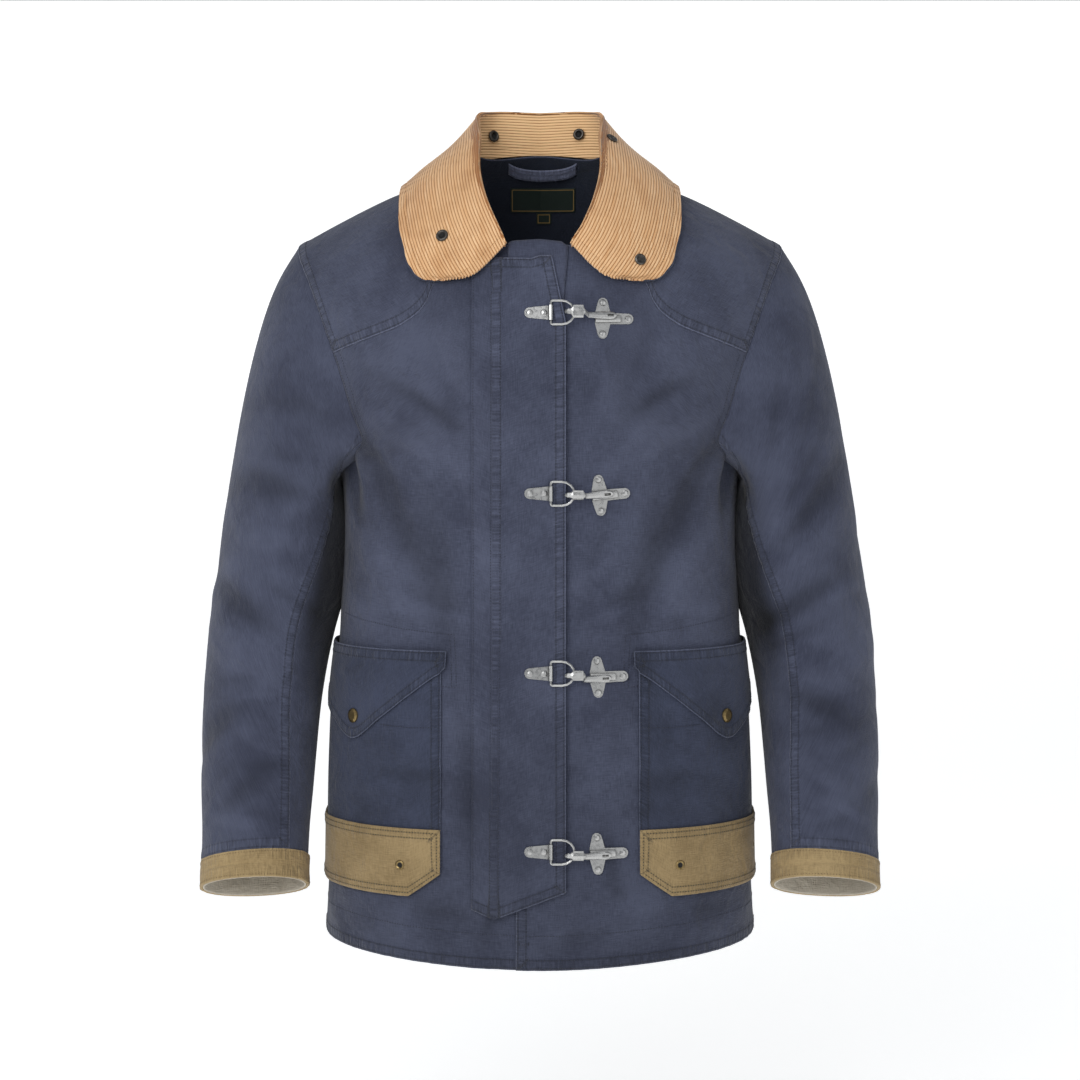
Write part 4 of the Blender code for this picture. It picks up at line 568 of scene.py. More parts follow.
def seam_relief(run, off, seed, depth=PUCKER_DEPTH):
    """A turned edge stands up, its stitch rows sink in, and the cloth puckers beside them."""
    stands = FOLD_RISE * (1 - ease(off, FOLDED_EDGE - 0.001, FOLDED_EDGE + 0.001))
    rows = sum(np.exp(-(((off - row) / 0.0011) ** 2)) for row in (FIRST_ROW, SECOND_ROW))
    rounded = -FOLD_RISE * np.exp(-((off / 0.0010) ** 2))
    return stands - ROW_SINK * rows + rounded + puckers(run, off, seed, depth)


def outward(points, away):
    """Normals of a grid of points, on the side that away points to."""
    normal = unit(np.cross(np.gradient(points, axis=1), np.gradient(points, axis=0)))
    return normal * (1 if np.sum(normal * away) > 0 else -1)


def lay_grid(name, points, normal, materials, thickness, seam=None, wear_and_shade=None, closed=False):
    """A thin shell of cloth whose outer face is a grid of points."""
    rows, columns = points.shape[:2]
    shape = bmesh.new()
    bmesh.ops.create_grid(shape, x_segments=columns - 1, y_segments=rows - 1, size=0.5)
    mesh = bpy.data.meshes.new(name)
    shape.verts.ensure_lookup_table()
    flat = np.array([vert.co[:2] for vert in shape.verts])
    column = np.rint((flat[:, 0] + 0.5) * (columns - 1)).astype(int)
    row = np.rint((flat[:, 1] + 0.5) * (rows - 1)).astype(int)
    shape.to_mesh(mesh)
    shape.free()
    mesh.vertices.foreach_set("co", points[row, column].astype(np.float32).ravel())
    corner = np.empty(len(mesh.loops), np.int32)
    mesh.loops.foreach_get("vertex_index", corner)
    grain = np.stack([lengths(points, 1), lengths(points, 0)], axis=-1)
    run, off = seam or (np.zeros((rows, columns)), np.full((rows, columns), NO_SEAM))
    for label, values in (("grain", grain), ("seam", np.stack([run, off], axis=-1))):
        layer = mesh.uv_layers.new(name=label)
        layer.data.foreach_set("uv", values[row, column][corner].astype(np.float32).ravel())
    # Paler where the attribute is above 0, painted shade where it is below 0.
    wear_and_shade_layer = mesh.attributes.new("wear_and_shade", "FLOAT", "POINT")
    shade = np.zeros((rows, columns)) if wear_and_shade is None else wear_and_shade
    wear_and_shade_layer.data.foreach_set("value", shade[row, column].astype(np.float32))
    shape = bmesh.new()
    shape.from_mesh(mesh)
    if closed:
        bmesh.ops.remove_doubles(shape, verts=shape.verts, dist=1e-5)
    shape.normal_update()
    shape.faces.ensure_lookup_table()
    middle = shape.faces[len(shape.faces) // 2]
    near = np.argmin(np.linalg.norm(points - np.array(middle.calc_center_median()), axis=-1))
    if middle.normal.dot(Vector(normal.reshape(-1, 3)[near])) < 0:
        bmesh.ops.reverse_faces(shape, faces=shape.faces)
    shape.to_mesh(mesh)
    shape.free()
    mesh.shade_smooth()
    for material in materials:
        mesh.materials.append(material)
    made = bpy.data.objects.new(name, mesh)
    bpy.context.scene.collection.objects.link(made)
    wall = made.modifiers.new("wall", "SOLIDIFY")
    wall.thickness = thickness
    wall.offset = -1
    wall.use_even_offset = False
    wall.material_offset = len(materials) - 1
    return made


def sheet_of(made, points, node):
    """Hangs the piece on the root and hides the solid it stands for. The size of its cloth is reckoned
    but not used.
    """
    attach(made, "root")
    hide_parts(node)
    wide = float(lengths(points, 1)[:, -1].max())
    long = float(lengths(points, 0)[-1].max())


threads = []  # rows of stitches in navy thread: points along each, and the cloth's normals there


def row_of_stitches(points, normal, edge, inset, trim=(0.003, 0.003)):
    """The line on a grid of points that runs a given distance in from one edge."""
    flip = {"left": 1, "right": 1, "bottom": 0, "top": 0}[edge]
    grid, facing = (points, normal) if flip else (np.swapaxes(points, 0, 1), np.swapaxes(normal, 0, 1))
    if edge in ("right", "top"):
        grid, facing = grid[:, ::-1], facing[:, ::-1]
    reach = lengths(grid, 1)
    line, faces = [], []
    for at, away, look in zip(grid, reach, facing):
        cell = min(int(np.searchsorted(away, inset)), len(away) - 1)
        t = (inset - away[cell - 1]) / (away[cell] - away[cell - 1])
        line.append(at[cell - 1] * (1 - t) + at[cell] * t)
        faces.append(look[cell])
    line, faces = np.array(line), np.array(faces)
    run = np.concatenate([[0], np.cumsum(np.linalg.norm(np.diff(line, axis=0), axis=1))])
    kept = (run >= trim[0]) & (run <= run[-1] - trim[1])
    return line[kept], faces[kept]


# What the float attribute on the cloth says: above 0 paler, below 0 darker as painted shade, as far as
# -1.
CREASE_FULL = 0.006  # relief at which a crease is shaded in full
CREASE_SHADES = (-0.4, 0.06)
LOW_SHADE, SIDE_SHADE = 0.20, 0.22


def crease_shade(relief):
    return np.clip(relief / CREASE_FULL, *CREASE_SHADES)


def body_shade(around, height):
    """Painted shade of the creases, of the skirt towards the hem, and of the sides under the arms;
    crease ridges a little paler.
    """
    shade = crease_shade(body_relief(around, height)) - LOW_SHADE * ease(-height, 0.40, 0.66)
    return shade - SIDE_SHADE * ease(np.abs(np.sin(around)), 0.95, 0.998) * ease(-height, 0.24, 0.30)


def skin_cloth(node, places, lift, edges, seed, materials,
               rows=(FIRST_ROW, SECOND_ROW), extra=0, depth=PUCKER_DEPTH,
               kept=threads, trim=(0.003, 0.003), inner_band=None):
    """A piece of the shell on the torso's form: cut, sewn along its edges, and creased."""
    around, height = places[..., 0], places[..., 1]
    flat, normal = skin(around, height), skin_normal(around, height)
    run, off = seam_reach(flat, edges)
    if inner_band:  # a puckered band away from the edges, counted from the left
        from_left = lengths(flat, 1)
        inside = (from_left > inner_band[0]) & (from_left < inner_band[1])
        off = np.where(inside, MID_BAND, off)
        run = np.where(inside, height, run)
    rise = lift + extra + body_relief(around, height)
    rise = rise + seam_relief(run, off, seed, depth)
    points = flat + normal * rise[..., None]
    fresh = outward(points, normal)
    shade = body_shade(around, height)
    made = lay_grid(f"{node}_cloth", points, fresh, materials, CLOTH, (run, off), shade)
    sheet_of(made, points, node)
    for edge in edges:
        for inset in rows:
            kept.append(row_of_stitches(points, fresh, edge, inset, trim))
    return points, fresh


def hem(around):
    return HEM_HEIGHT + HEM_SIDE_RISE * np.sin(around) ** 2


navy_canvas = woven("washed_navy_canvas", NAVY_DEEP, NAVY_PALE, NAVY_FADED)
# The inner faces: the same canvas painted darker, as shade.
navy_inside_shaded = woven("navy_canvas_inside_painted_shade", NAVY_INSIDE, NAVY_INSIDE, NAVY_DEEP, 0.9, 0.3, ())
NAVY = (navy_canvas, navy_inside_shaded)

LOW_ROWS = 10  # between the hem and the first level section
FIRST_LEVEL = -0.700
low_shares = np.linspace(0, 1, LOW_ROWS + 1)[:-1]
levels = FIRST_LEVEL + (UNDERARM - FIRST_LEVEL) * np.linspace(0, 1, 105)


def below_arms(columns_at):
    """Rows from the hem to the underarm, of columns that a function gives at each height."""
    base = columns_at(FIRST_LEVEL)
    rows = [np.stack([base, hem(base) * (1 - t) + FIRST_LEVEL * t], axis=-1) for t in low_shares]
    rows += [np.stack([columns_at(level), np.full(len(base), level)], axis=-1) for level in levels]
    return np.array(rows)


BACK_COLUMNS = 56  # on each half
YOKE_PART = 0.7  # of them reach the shoulder seam, and the rest the neck
seam_to_centre = spread(BACK_COLUMNS, 0.5)
lower = below_arms(lambda height: math.pi / 2 * (1 + seam_to_centre))
shoulder_count = int(round(BACK_COLUMNS * YOKE_PART))
ridge_x = np.linspace(ARMHOLE[0, 2], BACK_NECK[0, 0], shoulder_count)
ridge = np.stack([around_at(ridge_x, DOME_TOP, True), np.full(shoulder_count, DOME_TOP)], axis=-1)
neck = seam_path(BACK_NECK, np.linspace(0, 1, BACK_COLUMNS - shoulder_count + 1), True)
top = np.concatenate([ridge, neck[1:]])
up = spread(64, 0.4)
arm = armhole_path(1 - up, True)
arm[0], arm[-1] = lower[-1][0], top[0]
centre = np.stack([np.full(len(up), math.pi), UNDERARM + (top[-1, 1] - UNDERARM) * up], axis=-1)
upper = coons(lower[-1], top, arm, centre, up)
left_half = np.concatenate([lower, upper[1:]])
right_half = left_half[:, :-1][:, ::-1].copy()
right_half[..., 0] = 2 * math.pi - right_half[..., 0]
back_places = np.concatenate([left_half, right_half], axis=1)
back_points, back_normal = skin_cloth("back_panel", back_places, 0.0, ("bottom",), 3, NAVY)
arm_rows = slice(len(lower) + 2, None)
for away in ("left", "right"):
    for inset in (FIRST_ROW, SECOND_ROW):
        threads.append(row_of_stitches(back_points[arm_rows], back_normal[arm_rows], away, inset))

# Fronts. The left one laps over the right at the centre. Each is one piece of canvas from the
# hem to the neck and the curved yoke seam, turned and double-stitched at its hem and armhole.
FRONT_EDGE = 0.0225
UNDER_EDGE = 0.018
FLAP_SEAM = -0.064
POCKET_EDGE = 0.0928
NECK_END = FRONT_NECK[-1, 0]
seam_shares = np.linspace(0, 1, 240)
yoke_line = seam_path(YOKE_SEAM, seam_shares)
yoke_x = np.abs(skin(yoke_line[:, 0], yoke_line[:, 1])[:, 0])


def front_lines(start):
    """Columns of a front: how far out they stand, up to the pocket's edge."""
    near = np.linspace(start, NECK_END, 34)
    return np.concatenate([near, np.linspace(NECK_END, POCKET_EDGE, 7)[1:]])


fan = spread(52, 0.45)[1:]


def front_columns(lines, side, height):
    inner = around_at(lines, height)
    return np.concatenate([inner, inner[-1] + (side * math.pi / 2 - inner[-1]) * fan])


def front_top(lines, side):
    """Places along the top of a front: the neckline, then the yoke seam."""
    x = np.abs(lines)
    height = np.where(
        x <= FRONT_NECK[0, 0],
        FRONT_NECK[0, 1],
        np.where(
            x <= NECK_END,
            smooth(FRONT_NECK[:, 0], FRONT_NECK[:, 1], np.clip(x, FRONT_NECK[0, 0], NECK_END)),
            np.interp(x, yoke_x, yoke_line[:, 1]),
        ),
    )
    inner = np.stack([around_at(lines, height), height], axis=-1)
    start = float(np.interp(x[-1], yoke_x, seam_shares))
    rest = seam_path(YOKE_SEAM, start + (1 - start) * fan)
    rest[:, 0] *= side
    return np.concatenate([inner, rest])


def front_places(start, side):
    lines = front_lines(abs(start)) * side
    lines[:34] = np.linspace(start, side * NECK_END, 34)
    low = below_arms(lambda height: front_columns(lines, side, height))
    high = front_top(lines, side)
    up = spread(64, 0.4)
    heights = low[-1][0, 1] + (high[0, 1] - low[-1][0, 1]) * up
    inner = np.stack([around_at(np.full(len(up), lines[0]), heights), heights], axis=-1)
    outer = armhole_path(YOKE_SHARE + (1 - YOKE_SHARE) * (1 - up))
    outer[:, 0] *= side
    outer[0], outer[-1] = low[-1][-1], high[-1]
    u = np.linspace(0, 1, len(high))
    return np.concatenate([low, coons(low[-1], high, inner, outer, up, u)[1:]])


for node, start, side in (("front_left", -FRONT_EDGE, 1), ("front_right", UNDER_EDGE, -1)):
    places = front_places(start, side)
    x = skin(places[..., 0], places[..., 1])[..., 0]
    sunk = -(LAYER + 0.0002) * ease(x, FLAP_SEAM + 0.004, -0.040) if side < 0 else 0
    suffix = node.split("_")[1]
    points, faces = skin_cloth(
        node, places, 0.0, ("bottom", "left"), 11 + side, NAVY, extra=sunk,
    )
    arm_rows = slice(len(low_shares) + len(levels) + 1, None)
    for inset in (FIRST_ROW, SECOND_ROW):
        threads.append(row_of_stitches(points[arm_rows], faces[arm_rows], "right", inset))
    threads.append(row_of_stitches(points, faces, "bottom", 0.032))

# Yokes. Each is a second layer over the front of the shoulder, sewn into the neck, the shoulder
# seam and the armhole. Its curved lower edge is turned under and double-stitched to the front.
for side, suffix in ((-1, "right"), (1, "left")):
    foot = front_top(front_lines(0.0)[33:], 1)
    joint = 1 / 7
    q = np.concatenate([joint * np.linspace(0, 1, 7), joint + (1 - joint) * fan])
    ridge_x = SIDE_NECK[-1, 0] + (ARMHOLE[0, 1] - SIDE_NECK[-1, 0]) * q
    ridge = np.stack([around_at(ridge_x, DOME_TOP), np.full(len(q), DOME_TOP)], axis=-1)
    v = spread(46, 0.5)
    neck = seam_path(SIDE_NECK, v)
    arm = armhole_path(YOKE_SHARE * (1 - v))
    neck[0], neck[-1], arm[0], arm[-1] = foot[0], ridge[0], foot[-1], ridge[-1]
    places = coons(foot, ridge, neck, arm, v, q)
    places[..., 0] *= side
    skin_cloth(
        f"yoke_{suffix}", places, 0.0004, ("bottom", "right"), 21 + side, NAVY,
    )

# Storm flap. A long strip of double canvas sewn to the right front by its left edge, which laps
# over the closure. It carries the dees, and two rows of stitches run down it beside the seam.
FLAP_EDGE = 0.024
u = spread(46, 0.6)
v = spread(190, 0.5)
flap_x = FLAP_SEAM + (FLAP_EDGE - FLAP_SEAM) * u[None]
foot = np.interp(flap_x, (-0.064, -0.043, 0.024), (-0.677, -0.6855, -0.6605))
flap_top = height_at(flap_x, -0.067)
height = foot + (flap_top - foot) * v[:, None]
cut = 0.013 * np.clip(1 - (flap_top[:, -1:] - height) / 0.045, 0, 1)
flap_x = FLAP_SEAM + (FLAP_EDGE - cut - FLAP_SEAM) * u[None]
flap_places = np.stack([around_at(flap_x, height), height], axis=-1)
flap_lift = LAYER * (1 + ease(flap_x, FLAP_SEAM + 0.002, -0.040)) + GAP
# Short creases across it: x, height, length, width, depth and lean of each.
FLAP_CREASES = (
    (-0.030, -0.135, 0.016, 0.004, 0.0007, 70), (0.004, -0.118, 0.012, 0.003, -0.0006, 60),
    (-0.045, -0.160, 0.014, 0.004, -0.0006, 100), (-0.012, -0.190, 0.020, 0.005, 0.0006, 85),
    (-0.040, -0.215, 0.016, 0.004, 0.0007, 95), (0.006, -0.240, 0.014, 0.004, -0.0007, 80),
    (-0.030, -0.262, 0.020, 0.004, -0.0006, 92), (-0.008, -0.290, 0.022, 0.005, 0.0007, 97),
    (-0.048, -0.310, 0.014, 0.004, 0.0008, 84), (0.008, -0.325, 0.012, 0.004, 0.0008, 88),
    (-0.028, -0.345, 0.020, 0.004, -0.0008, 94), (-0.002, -0.368, 0.018, 0.004, 0.0009, 80),
    (-0.044, -0.385, 0.016, 0.004, -0.0008, 99), (-0.018, -0.402, 0.022, 0.004, 0.0009, 90),
    (0.010, -0.418, 0.012, 0.003, -0.0009, 84), (-0.038, -0.432, 0.018, 0.004, 0.0010, 93),
    (-0.010, -0.447, 0.020, 0.004, -0.0009, 96), (-0.050, -0.462, 0.012, 0.003, 0.0009, 84),
    (0.006, -0.474, 0.014, 0.004, 0.0010, 90), (-0.026, -0.486, 0.020, 0.004, 0.0009, 99),
    (-0.046, -0.505, 0.014, 0.004, -0.0010, 87), (-0.004, -0.512, 0.018, 0.004, -0.0009, 82),
    (-0.030, -0.530, 0.022, 0.004, 0.0010, 94), (0.008, -0.545, 0.012, 0.004, 0.0009, 98),
    (-0.048, -0.552, 0.012, 0.003, 0.0010, 90), (-0.018, -0.566, 0.020, 0.004, -0.0010, 88),
    (-0.040, -0.584, 0.016, 0.004, 0.0009, 84), (0.002, -0.592, 0.018, 0.004, 0.0010, 95),
    (-0.024, -0.610, 0.020, 0.004, 0.0009, 92), (-0.050, -0.624, 0.012, 0.004, -0.0009, 90),
    (0.006, -0.632, 0.014, 0.003, -0.0009, 86), (-0.032, -0.645, 0.018, 0.004, 0.0009, 99),
)
flap_lift = flap_lift + folded(FLAP_CREASES, lambda x: flap_x - x, lambda level: height - level)
flap_lift = flap_lift + 0.0010 * ease(flap_x, 0.010, FLAP_EDGE)  # its free edge stands off a little
flap_points, flap_faces = skin_cloth(
    "storm_flap", flap_places, 0.0, ("bottom", "right", "top"), 31, NAVY,
    extra=flap_lift, inner_band=(0.0185, 0.0285),
)
for inset in (0.0015, 0.0190, 0.0280):
    threads.append(row_of_stitches(flap_points, flap_faces, "left", inset))

# Placket facing. The narrow strip of canvas under the storm flap, which shows above it at the
# neck and past its cut corner.
FACING_CORNERS = (-0.0300, 0.0262)
facing_u = np.linspace(0, 1, 19)[None]
v = spread(150, 0.4)[:, None]
level = -0.655 + (float(height_at(0.0, -0.0530)) + 0.655) * v
left = -FRONT_EDGE + (FACING_CORNERS[0] + FRONT_EDGE) * ease(level, -0.125, -0.090)
right = FRONT_EDGE + (FACING_CORNERS[1] - FRONT_EDGE) * ease(level, -0.125, -0.085)
facing_x = left + (right - left) * facing_u
FACING_TOP = np.array((
    (-0.0300, -0.0530), (-0.0260, -0.0508), (0.0, -0.0493), (0.0200, -0.0515), (0.0262, -0.0560),
))
facing_z = np.interp(facing_x[-1], FACING_TOP[:, 0], FACING_TOP[:, 1])
height = -0.655 + (height_at(facing_x[-1], facing_z)[None] + 0.655) * v
facing_places = np.stack([around_at(facing_x, height), height], axis=-1)
skin_cloth(
    "placket_facing", facing_places, LAYER, (), 37, NAVY,
)

# Pockets. Large patch pockets that wrap round the side, with a band of khaki canvas along the
# foot and a pointed flap with a press stud. All are double-stitched, the khaki in dark thread.
POCKET_TOP, POCKET_FOOT, BAND_TOP, POCKET_PUFF = -0.445, -0.667, -0.604, 0.003
KHAKI_DEEP = "85704D"
KHAKI_PALE = "A68F67"
KHAKI_FADED = "C3AC82"
DARK_THREAD = "3A382F"
KHAKI_ROWS = (0.0035, 0.0085)
khaki_canvas = woven("waxed_khaki_canvas", KHAKI_DEEP, KHAKI_PALE, KHAKI_FADED, 0.8, 0.4, KHAKI_ROWS)
# The pockets are the same navy canvas painted darker, as shade.
POCKET_DEEP = "2A2F3F"
POCKET_PALE = "3B4155"
shaded_pocket_canvas = woven("navy_canvas_painted_darker", POCKET_DEEP, POCKET_PALE, "6C7289")
POCKET_NAVY = (shaded_pocket_canvas, navy_inside_shaded)
dark_threads = []
BACK_REACH = math.pi / 2 * 1.1
FLAP_FEET = np.array((
    -0.4527, -0.4590, -0.4790, -0.5030, -0.5246, -0.5105, -0.4930, -0.4750, -0.4550,
))


def pocket_turns(side, height, shares, lead=None):
    """Round the side, from the pocket's front edge to a little past the side seam."""
    start = around_at(POCKET_EDGE, height)
    knots = [start + (math.pi / 2 - start) * share for share in np.linspace(0, 1, 7)] + [
        np.full_like(start, BACK_REACH)]
    if lead is not None:
        knots = [around_at(lead, height), *knots]
    knots = np.moveaxis(np.array(knots), 0, -1)
    at = shares * (knots.shape[-1] - 1)
    low = np.clip(at.astype(int), 0, knots.shape[-1] - 2)
    return side * (np.take(knots, low, -1) * (1 - (at - low)) + np.take(knots, low + 1, -1) * (at - low))


def puff(around, height):
    """Fullness of the pocket, none at its edges."""
    start, end = math.radians(36), math.radians(101)
    across = np.clip((np.abs(around) - start) / (end - start), 0, 1)
    climb = np.clip((height - POCKET_FOOT) / (POCKET_TOP - POCKET_FOOT), 0, 1)
    return POCKET_PUFF * np.sin(math.pi * across) * np.sin(math.pi * climb) ** 0.5


def patch_places(side, top, rows, columns):
    """A patch from the pocket's foot, with its lower front corner cut off, up to a level."""
    shares = spread(columns, 0.55)
    foot = POCKET_FOOT + 0.022 * np.clip(1 - shares * 7, 0, 1)
    height = foot + (top - foot) * spread(rows, 0.5)[:, None]
    turns = np.array([pocket_turns(side, np.array(row[0]), shares) for row in height])
    return np.stack([turns, height], axis=-1)


for side, suffix in ((-1, "right"), (1, "left")):
    places = patch_places(side, POCKET_TOP, 70, 70)
    skin_cloth(
        f"pocket_{suffix}", places, LAYER, ("left",), 41 + side, POCKET_NAVY,
        extra=puff(places[..., 0], places[..., 1]),
    )
    places = patch_places(side, BAND_TOP, 32, 80)
    skin_cloth(
        f"pocket_band_{suffix}", places, 2 * LAYER, ("bottom", "left", "top"), 47 + side,
        (khaki_canvas,),
        extra=puff(places[..., 0], places[..., 1]),
        kept=dark_threads, rows=KHAKI_ROWS, depth=0.00012, trim=(0.006, 0.003),
    )
    shares = spread(84, 0.4)
    flap_high = -0.4375
    feet = smooth(np.arange(9) / 8, FLAP_FEET, shares)
    turns = pocket_turns(side, np.array(POCKET_TOP), shares, lead=0.0880)
    height = feet + (flap_high - feet) * spread(44, 0.6)[:, None]
    places = np.stack([np.broadcast_to(turns, height.shape), height], axis=-1)
    skin_cloth(
        f"pocket_flap_{suffix}", places, 2 * LAYER + 0.0006, ("bottom", "top", "left"), 53 + side,
        POCKET_NAVY, extra=puff(places[..., 0], places[..., 1]),
    )


def on_front(x, z, lift):
    """Points that lie this far above the torso's form, and its normals, at each x and z."""
    height = height_at(x, z)
    around = around_at(x, height)
    normal = skin_normal(around, height)
    return skin(around, height) + normal * (lift + body_relief(around, height))[..., None], normal


# Rows that hold the waist channel, the stay inside the front, and the facing inside the pocket.
for side in (-1, 1):
    for spots, lift in (
        (((0.0800, -0.4225), (0.1300, -0.4180), (0.1700, -0.4120), (0.1900, -0.4080)), 0.0),
        (((0.0810, -0.4235), (0.0795, -0.4440), (0.0790, -0.4710)), 0.0),
        (((0.0855, -0.4240), (0.0840, -0.4440), (0.0835, -0.4700)), 0.0),
        (((0.0790, -0.4715), (0.0915, -0.4705)), 0.0),
        (((0.0945, -0.5085), (0.1200, -0.5100), (0.1500, -0.5090)), LAYER + 0.0022),
    ):
        spots = np.array(spots)
        x = np.linspace(0, 1, 40)
        keys = np.linspace(0, 1, len(spots))
        line = np.stack([np.interp(x, keys, spots[:, 0]) * side, np.interp(x, keys, spots[:, 1])])
        threads.append(on_front(*line, np.full(40, lift)))

# Bar tacks at the foot of the right front's edge.
for spots in (((-0.0205, -0.7075), (-0.0095, -0.7070)), ((-0.0205, -0.7270), (-0.0130, -0.7265))):
    for drop in (0.0, 0.0009, 0.0018):
        x, z = np.linspace(*spots, 12).T
        threads.append(on_front(x, z - drop, np.full(12, 0.0004)))

# Sleeves. Two pieces each: a wide top sleeve and a narrow under sleeve, joined by a felled,
# double-stitched seam in front and a plain one behind, and set into the armhole. They hang bent
# a little at the elbow, with creases across the bend and spirals down from the underarm.
RING_ROUND = 2.15
CUFF_ROW = 14
# Outer x, z and inner x, z on the side-on outline, y, depth, tilt, share of the armhole's outline,
# and the front and back seams in degrees round the ring from its outer point by way of the front.
SLEEVE_RINGS = np.array((
    (0.2400, -0.046, 0.1965, -0.262, 0.000, 0.086, 0, 1.00, 150, 222),
    (0.2585, -0.078, 0.2030, -0.271, 0.000, 0.087, 0, 0.70, 152, 226),
    (0.2725, -0.113, 0.2010, -0.282, -0.002, 0.085, 0, 0.45, 152, 224),
    (0.2850, -0.158, 0.1985, -0.298, -0.004, 0.082, 0, 0.20, 149, 222),
    (0.2960, -0.210, 0.1962, -0.320, -0.006, 0.080, 1, 0.05, 145, 222),
    (0.3050, -0.262, 0.1950, -0.343, -0.006, 0.078, 2, 0.00, 139, 223),
    (0.3130, -0.310, 0.1956, -0.370, -0.005, 0.076, 3, 0.00, 132, 224),
    (0.3190, -0.355, 0.1985, -0.398, -0.004, 0.075, 4, 0.00, 125, 225),
    (0.3255, -0.400, 0.2058, -0.429, -0.004, 0.073, 6, 0.00, 122, 226),
    (0.3300, -0.445, 0.2125, -0.463, -0.008, 0.071, 10, 0.00, 123, 228),
    (0.3320, -0.490, 0.2175, -0.500, -0.018, 0.067, 15, 0.00, 125, 230),
    (0.3320, -0.535, 0.2200, -0.540, -0.034, 0.061, 20, 0.00, 128, 232),
    (0.3300, -0.577, 0.2215, -0.576, -0.052, 0.054, 23, 0.00, 131, 234),
    (0.3265, -0.615, 0.2230, -0.610, -0.070, 0.047, 24, 0.00, 133, 235),
    (0.3250, -0.646, 0.2230, -0.638, -0.084, 0.042, 24, 0.00, 134, 236),
    (0.3240, -0.668, 0.2218, -0.663, -0.096, 0.040, 25, 0.00, 134, 236),
))
LAST_RING = len(SLEEVE_RINGS) - 1
SLEEVE_GIRTH = 0.062  # metres round it a radian, and down it a ring, on which folds are laid
RING_PITCH = 0.042
# Degrees round the sleeve, ring, length, width, depth and lean of each fold.
LEFT_SLEEVE_FOLDS = (
    (70, 5.2, 0.045, 0.012, -0.0035, 62), (100, 7.6, 0.050, 0.013, -0.0030, 70),
    (45, 9.3, 0.045, 0.014, 0.0030, 60), (95, 10.4, 0.040, 0.012, -0.0030, -64),
    (310, 8.6, 0.050, 0.016, -0.0035, 66), (280, 5.8, 0.050, 0.015, 0.0030, -60),
    (30, 12.2, 0.035, 0.012, -0.0022, 55),
    (60, 3.2, 0.034, 0.007, -0.0012, 40), (85, 6.3, 0.028, 0.007, 0.0013, 66),
    (112, 8.5, 0.030, 0.006, -0.0013, 74), (70, 8.9, 0.034, 0.006, 0.0012, -70),
    (55, 11.3, 0.026, 0.006, -0.0012, 62), (100, 12.0, 0.026, 0.006, 0.0013, -58),
    (118, 5.0, 0.032, 0.007, 0.0012, 30), (20, 6.8, 0.036, 0.008, -0.0012, 38),
    (85, 13.2, 0.022, 0.006, -0.0010, 66), (330, 11.0, 0.036, 0.009, 0.0014, 60),
    (180, 4.2, 0.110, 0.034, 0.0065, 0), (150, 2.6, 0.045, 0.012, -0.0050, 0),
    (40, 2.0, 0.040, 0.009, 0.0013, 20), (92, 2.2, 0.036, 0.008, -0.0014, 30),
    (58, 7.6, 0.030, 0.007, 0.0013, 82), (88, 9.6, 0.030, 0.006, 0.0013, 78),
    (36, 10.6, 0.034, 0.008, -0.0014, 66), (66, 12.9, 0.026, 0.006, 0.0012, -72),
    (106, 11.0, 0.024, 0.006, -0.0012, 84), (22, 8.4, 0.040, 0.009, 0.0013, 48),
    (76, 4.3, 0.030, 0.008, -0.0013, 52), (48, 5.8, 0.034, 0.008, 0.0012, 44),
)
RIGHT_SLEEVE_FOLDS = (
    (75, 4.8, 0.050, 0.012, -0.0035, -60), (60, 7.9, 0.045, 0.013, -0.0032, 66),
    (98, 9.4, 0.050, 0.014, 0.0030, 68), (50, 10.8, 0.040, 0.012, -0.0028, -60),
    (300, 8.2, 0.055, 0.016, -0.0035, -64), (265, 6.0, 0.045, 0.015, 0.0030, 62),
    (80, 12.4, 0.035, 0.012, -0.0022, -58),
    (65, 3.0, 0.034, 0.007, -0.0012, -42), (90, 6.0, 0.030, 0.007, 0.0013, -64),
    (110, 7.4, 0.028, 0.006, -0.0012, 72), (74, 9.8, 0.034, 0.006, -0.0013, -74),
    (42, 9.0, 0.030, 0.007, 0.0012, 58), (95, 11.2, 0.026, 0.006, 0.0013, 64),
    (60, 12.0, 0.024, 0.006, -0.0011, -56), (120, 4.2, 0.034, 0.007, 0.0012, -34),
    (104, 13.0, 0.022, 0.006, -0.0011, 70), (335, 10.4, 0.036, 0.009, 0.0014, -58),
    (180, 4.2, 0.110, 0.034, 0.0065, 0), (150, 2.6, 0.045, 0.012, -0.0050, 0),
    (42, 2.2, 0.040, 0.009, 0.0013, -22), (90, 2.0, 0.036, 0.008, -0.0014, -28),
    (60, 8.8, 0.030, 0.007, 0.0013, -80), (86, 10.2, 0.030, 0.006, 0.0013, -76),
    (34, 11.2, 0.034, 0.008, -0.0014, -64), (70, 13.1, 0.026, 0.006, 0.0012, 74),
    (108, 11.8, 0.024, 0.006, -0.0012, -84), (24, 7.6, 0.040, 0.009, 0.0013, -50),
    (80, 3.9, 0.030, 0.008, -0.0013, -50), (50, 5.4, 0.034, 0.008, 0.0012, -46),
)


def armhole_loop(side, turns):
    """The armhole in space, by angle from its top by way of the front."""
    turns = np.mod(turns, 2 * math.pi)
    front = armhole_path(np.clip(turns / math.pi, 0, 1))
    back = armhole_path(np.clip(2 - turns / math.pi, 0, 1), True)
    places = np.where((turns <= math.pi)[..., None], front, back)
    around, height = side * places[..., 0], places[..., 1]
    lift = body_relief(around, height)
    return skin(around, height) + skin_normal(around, height) * lift[..., None]


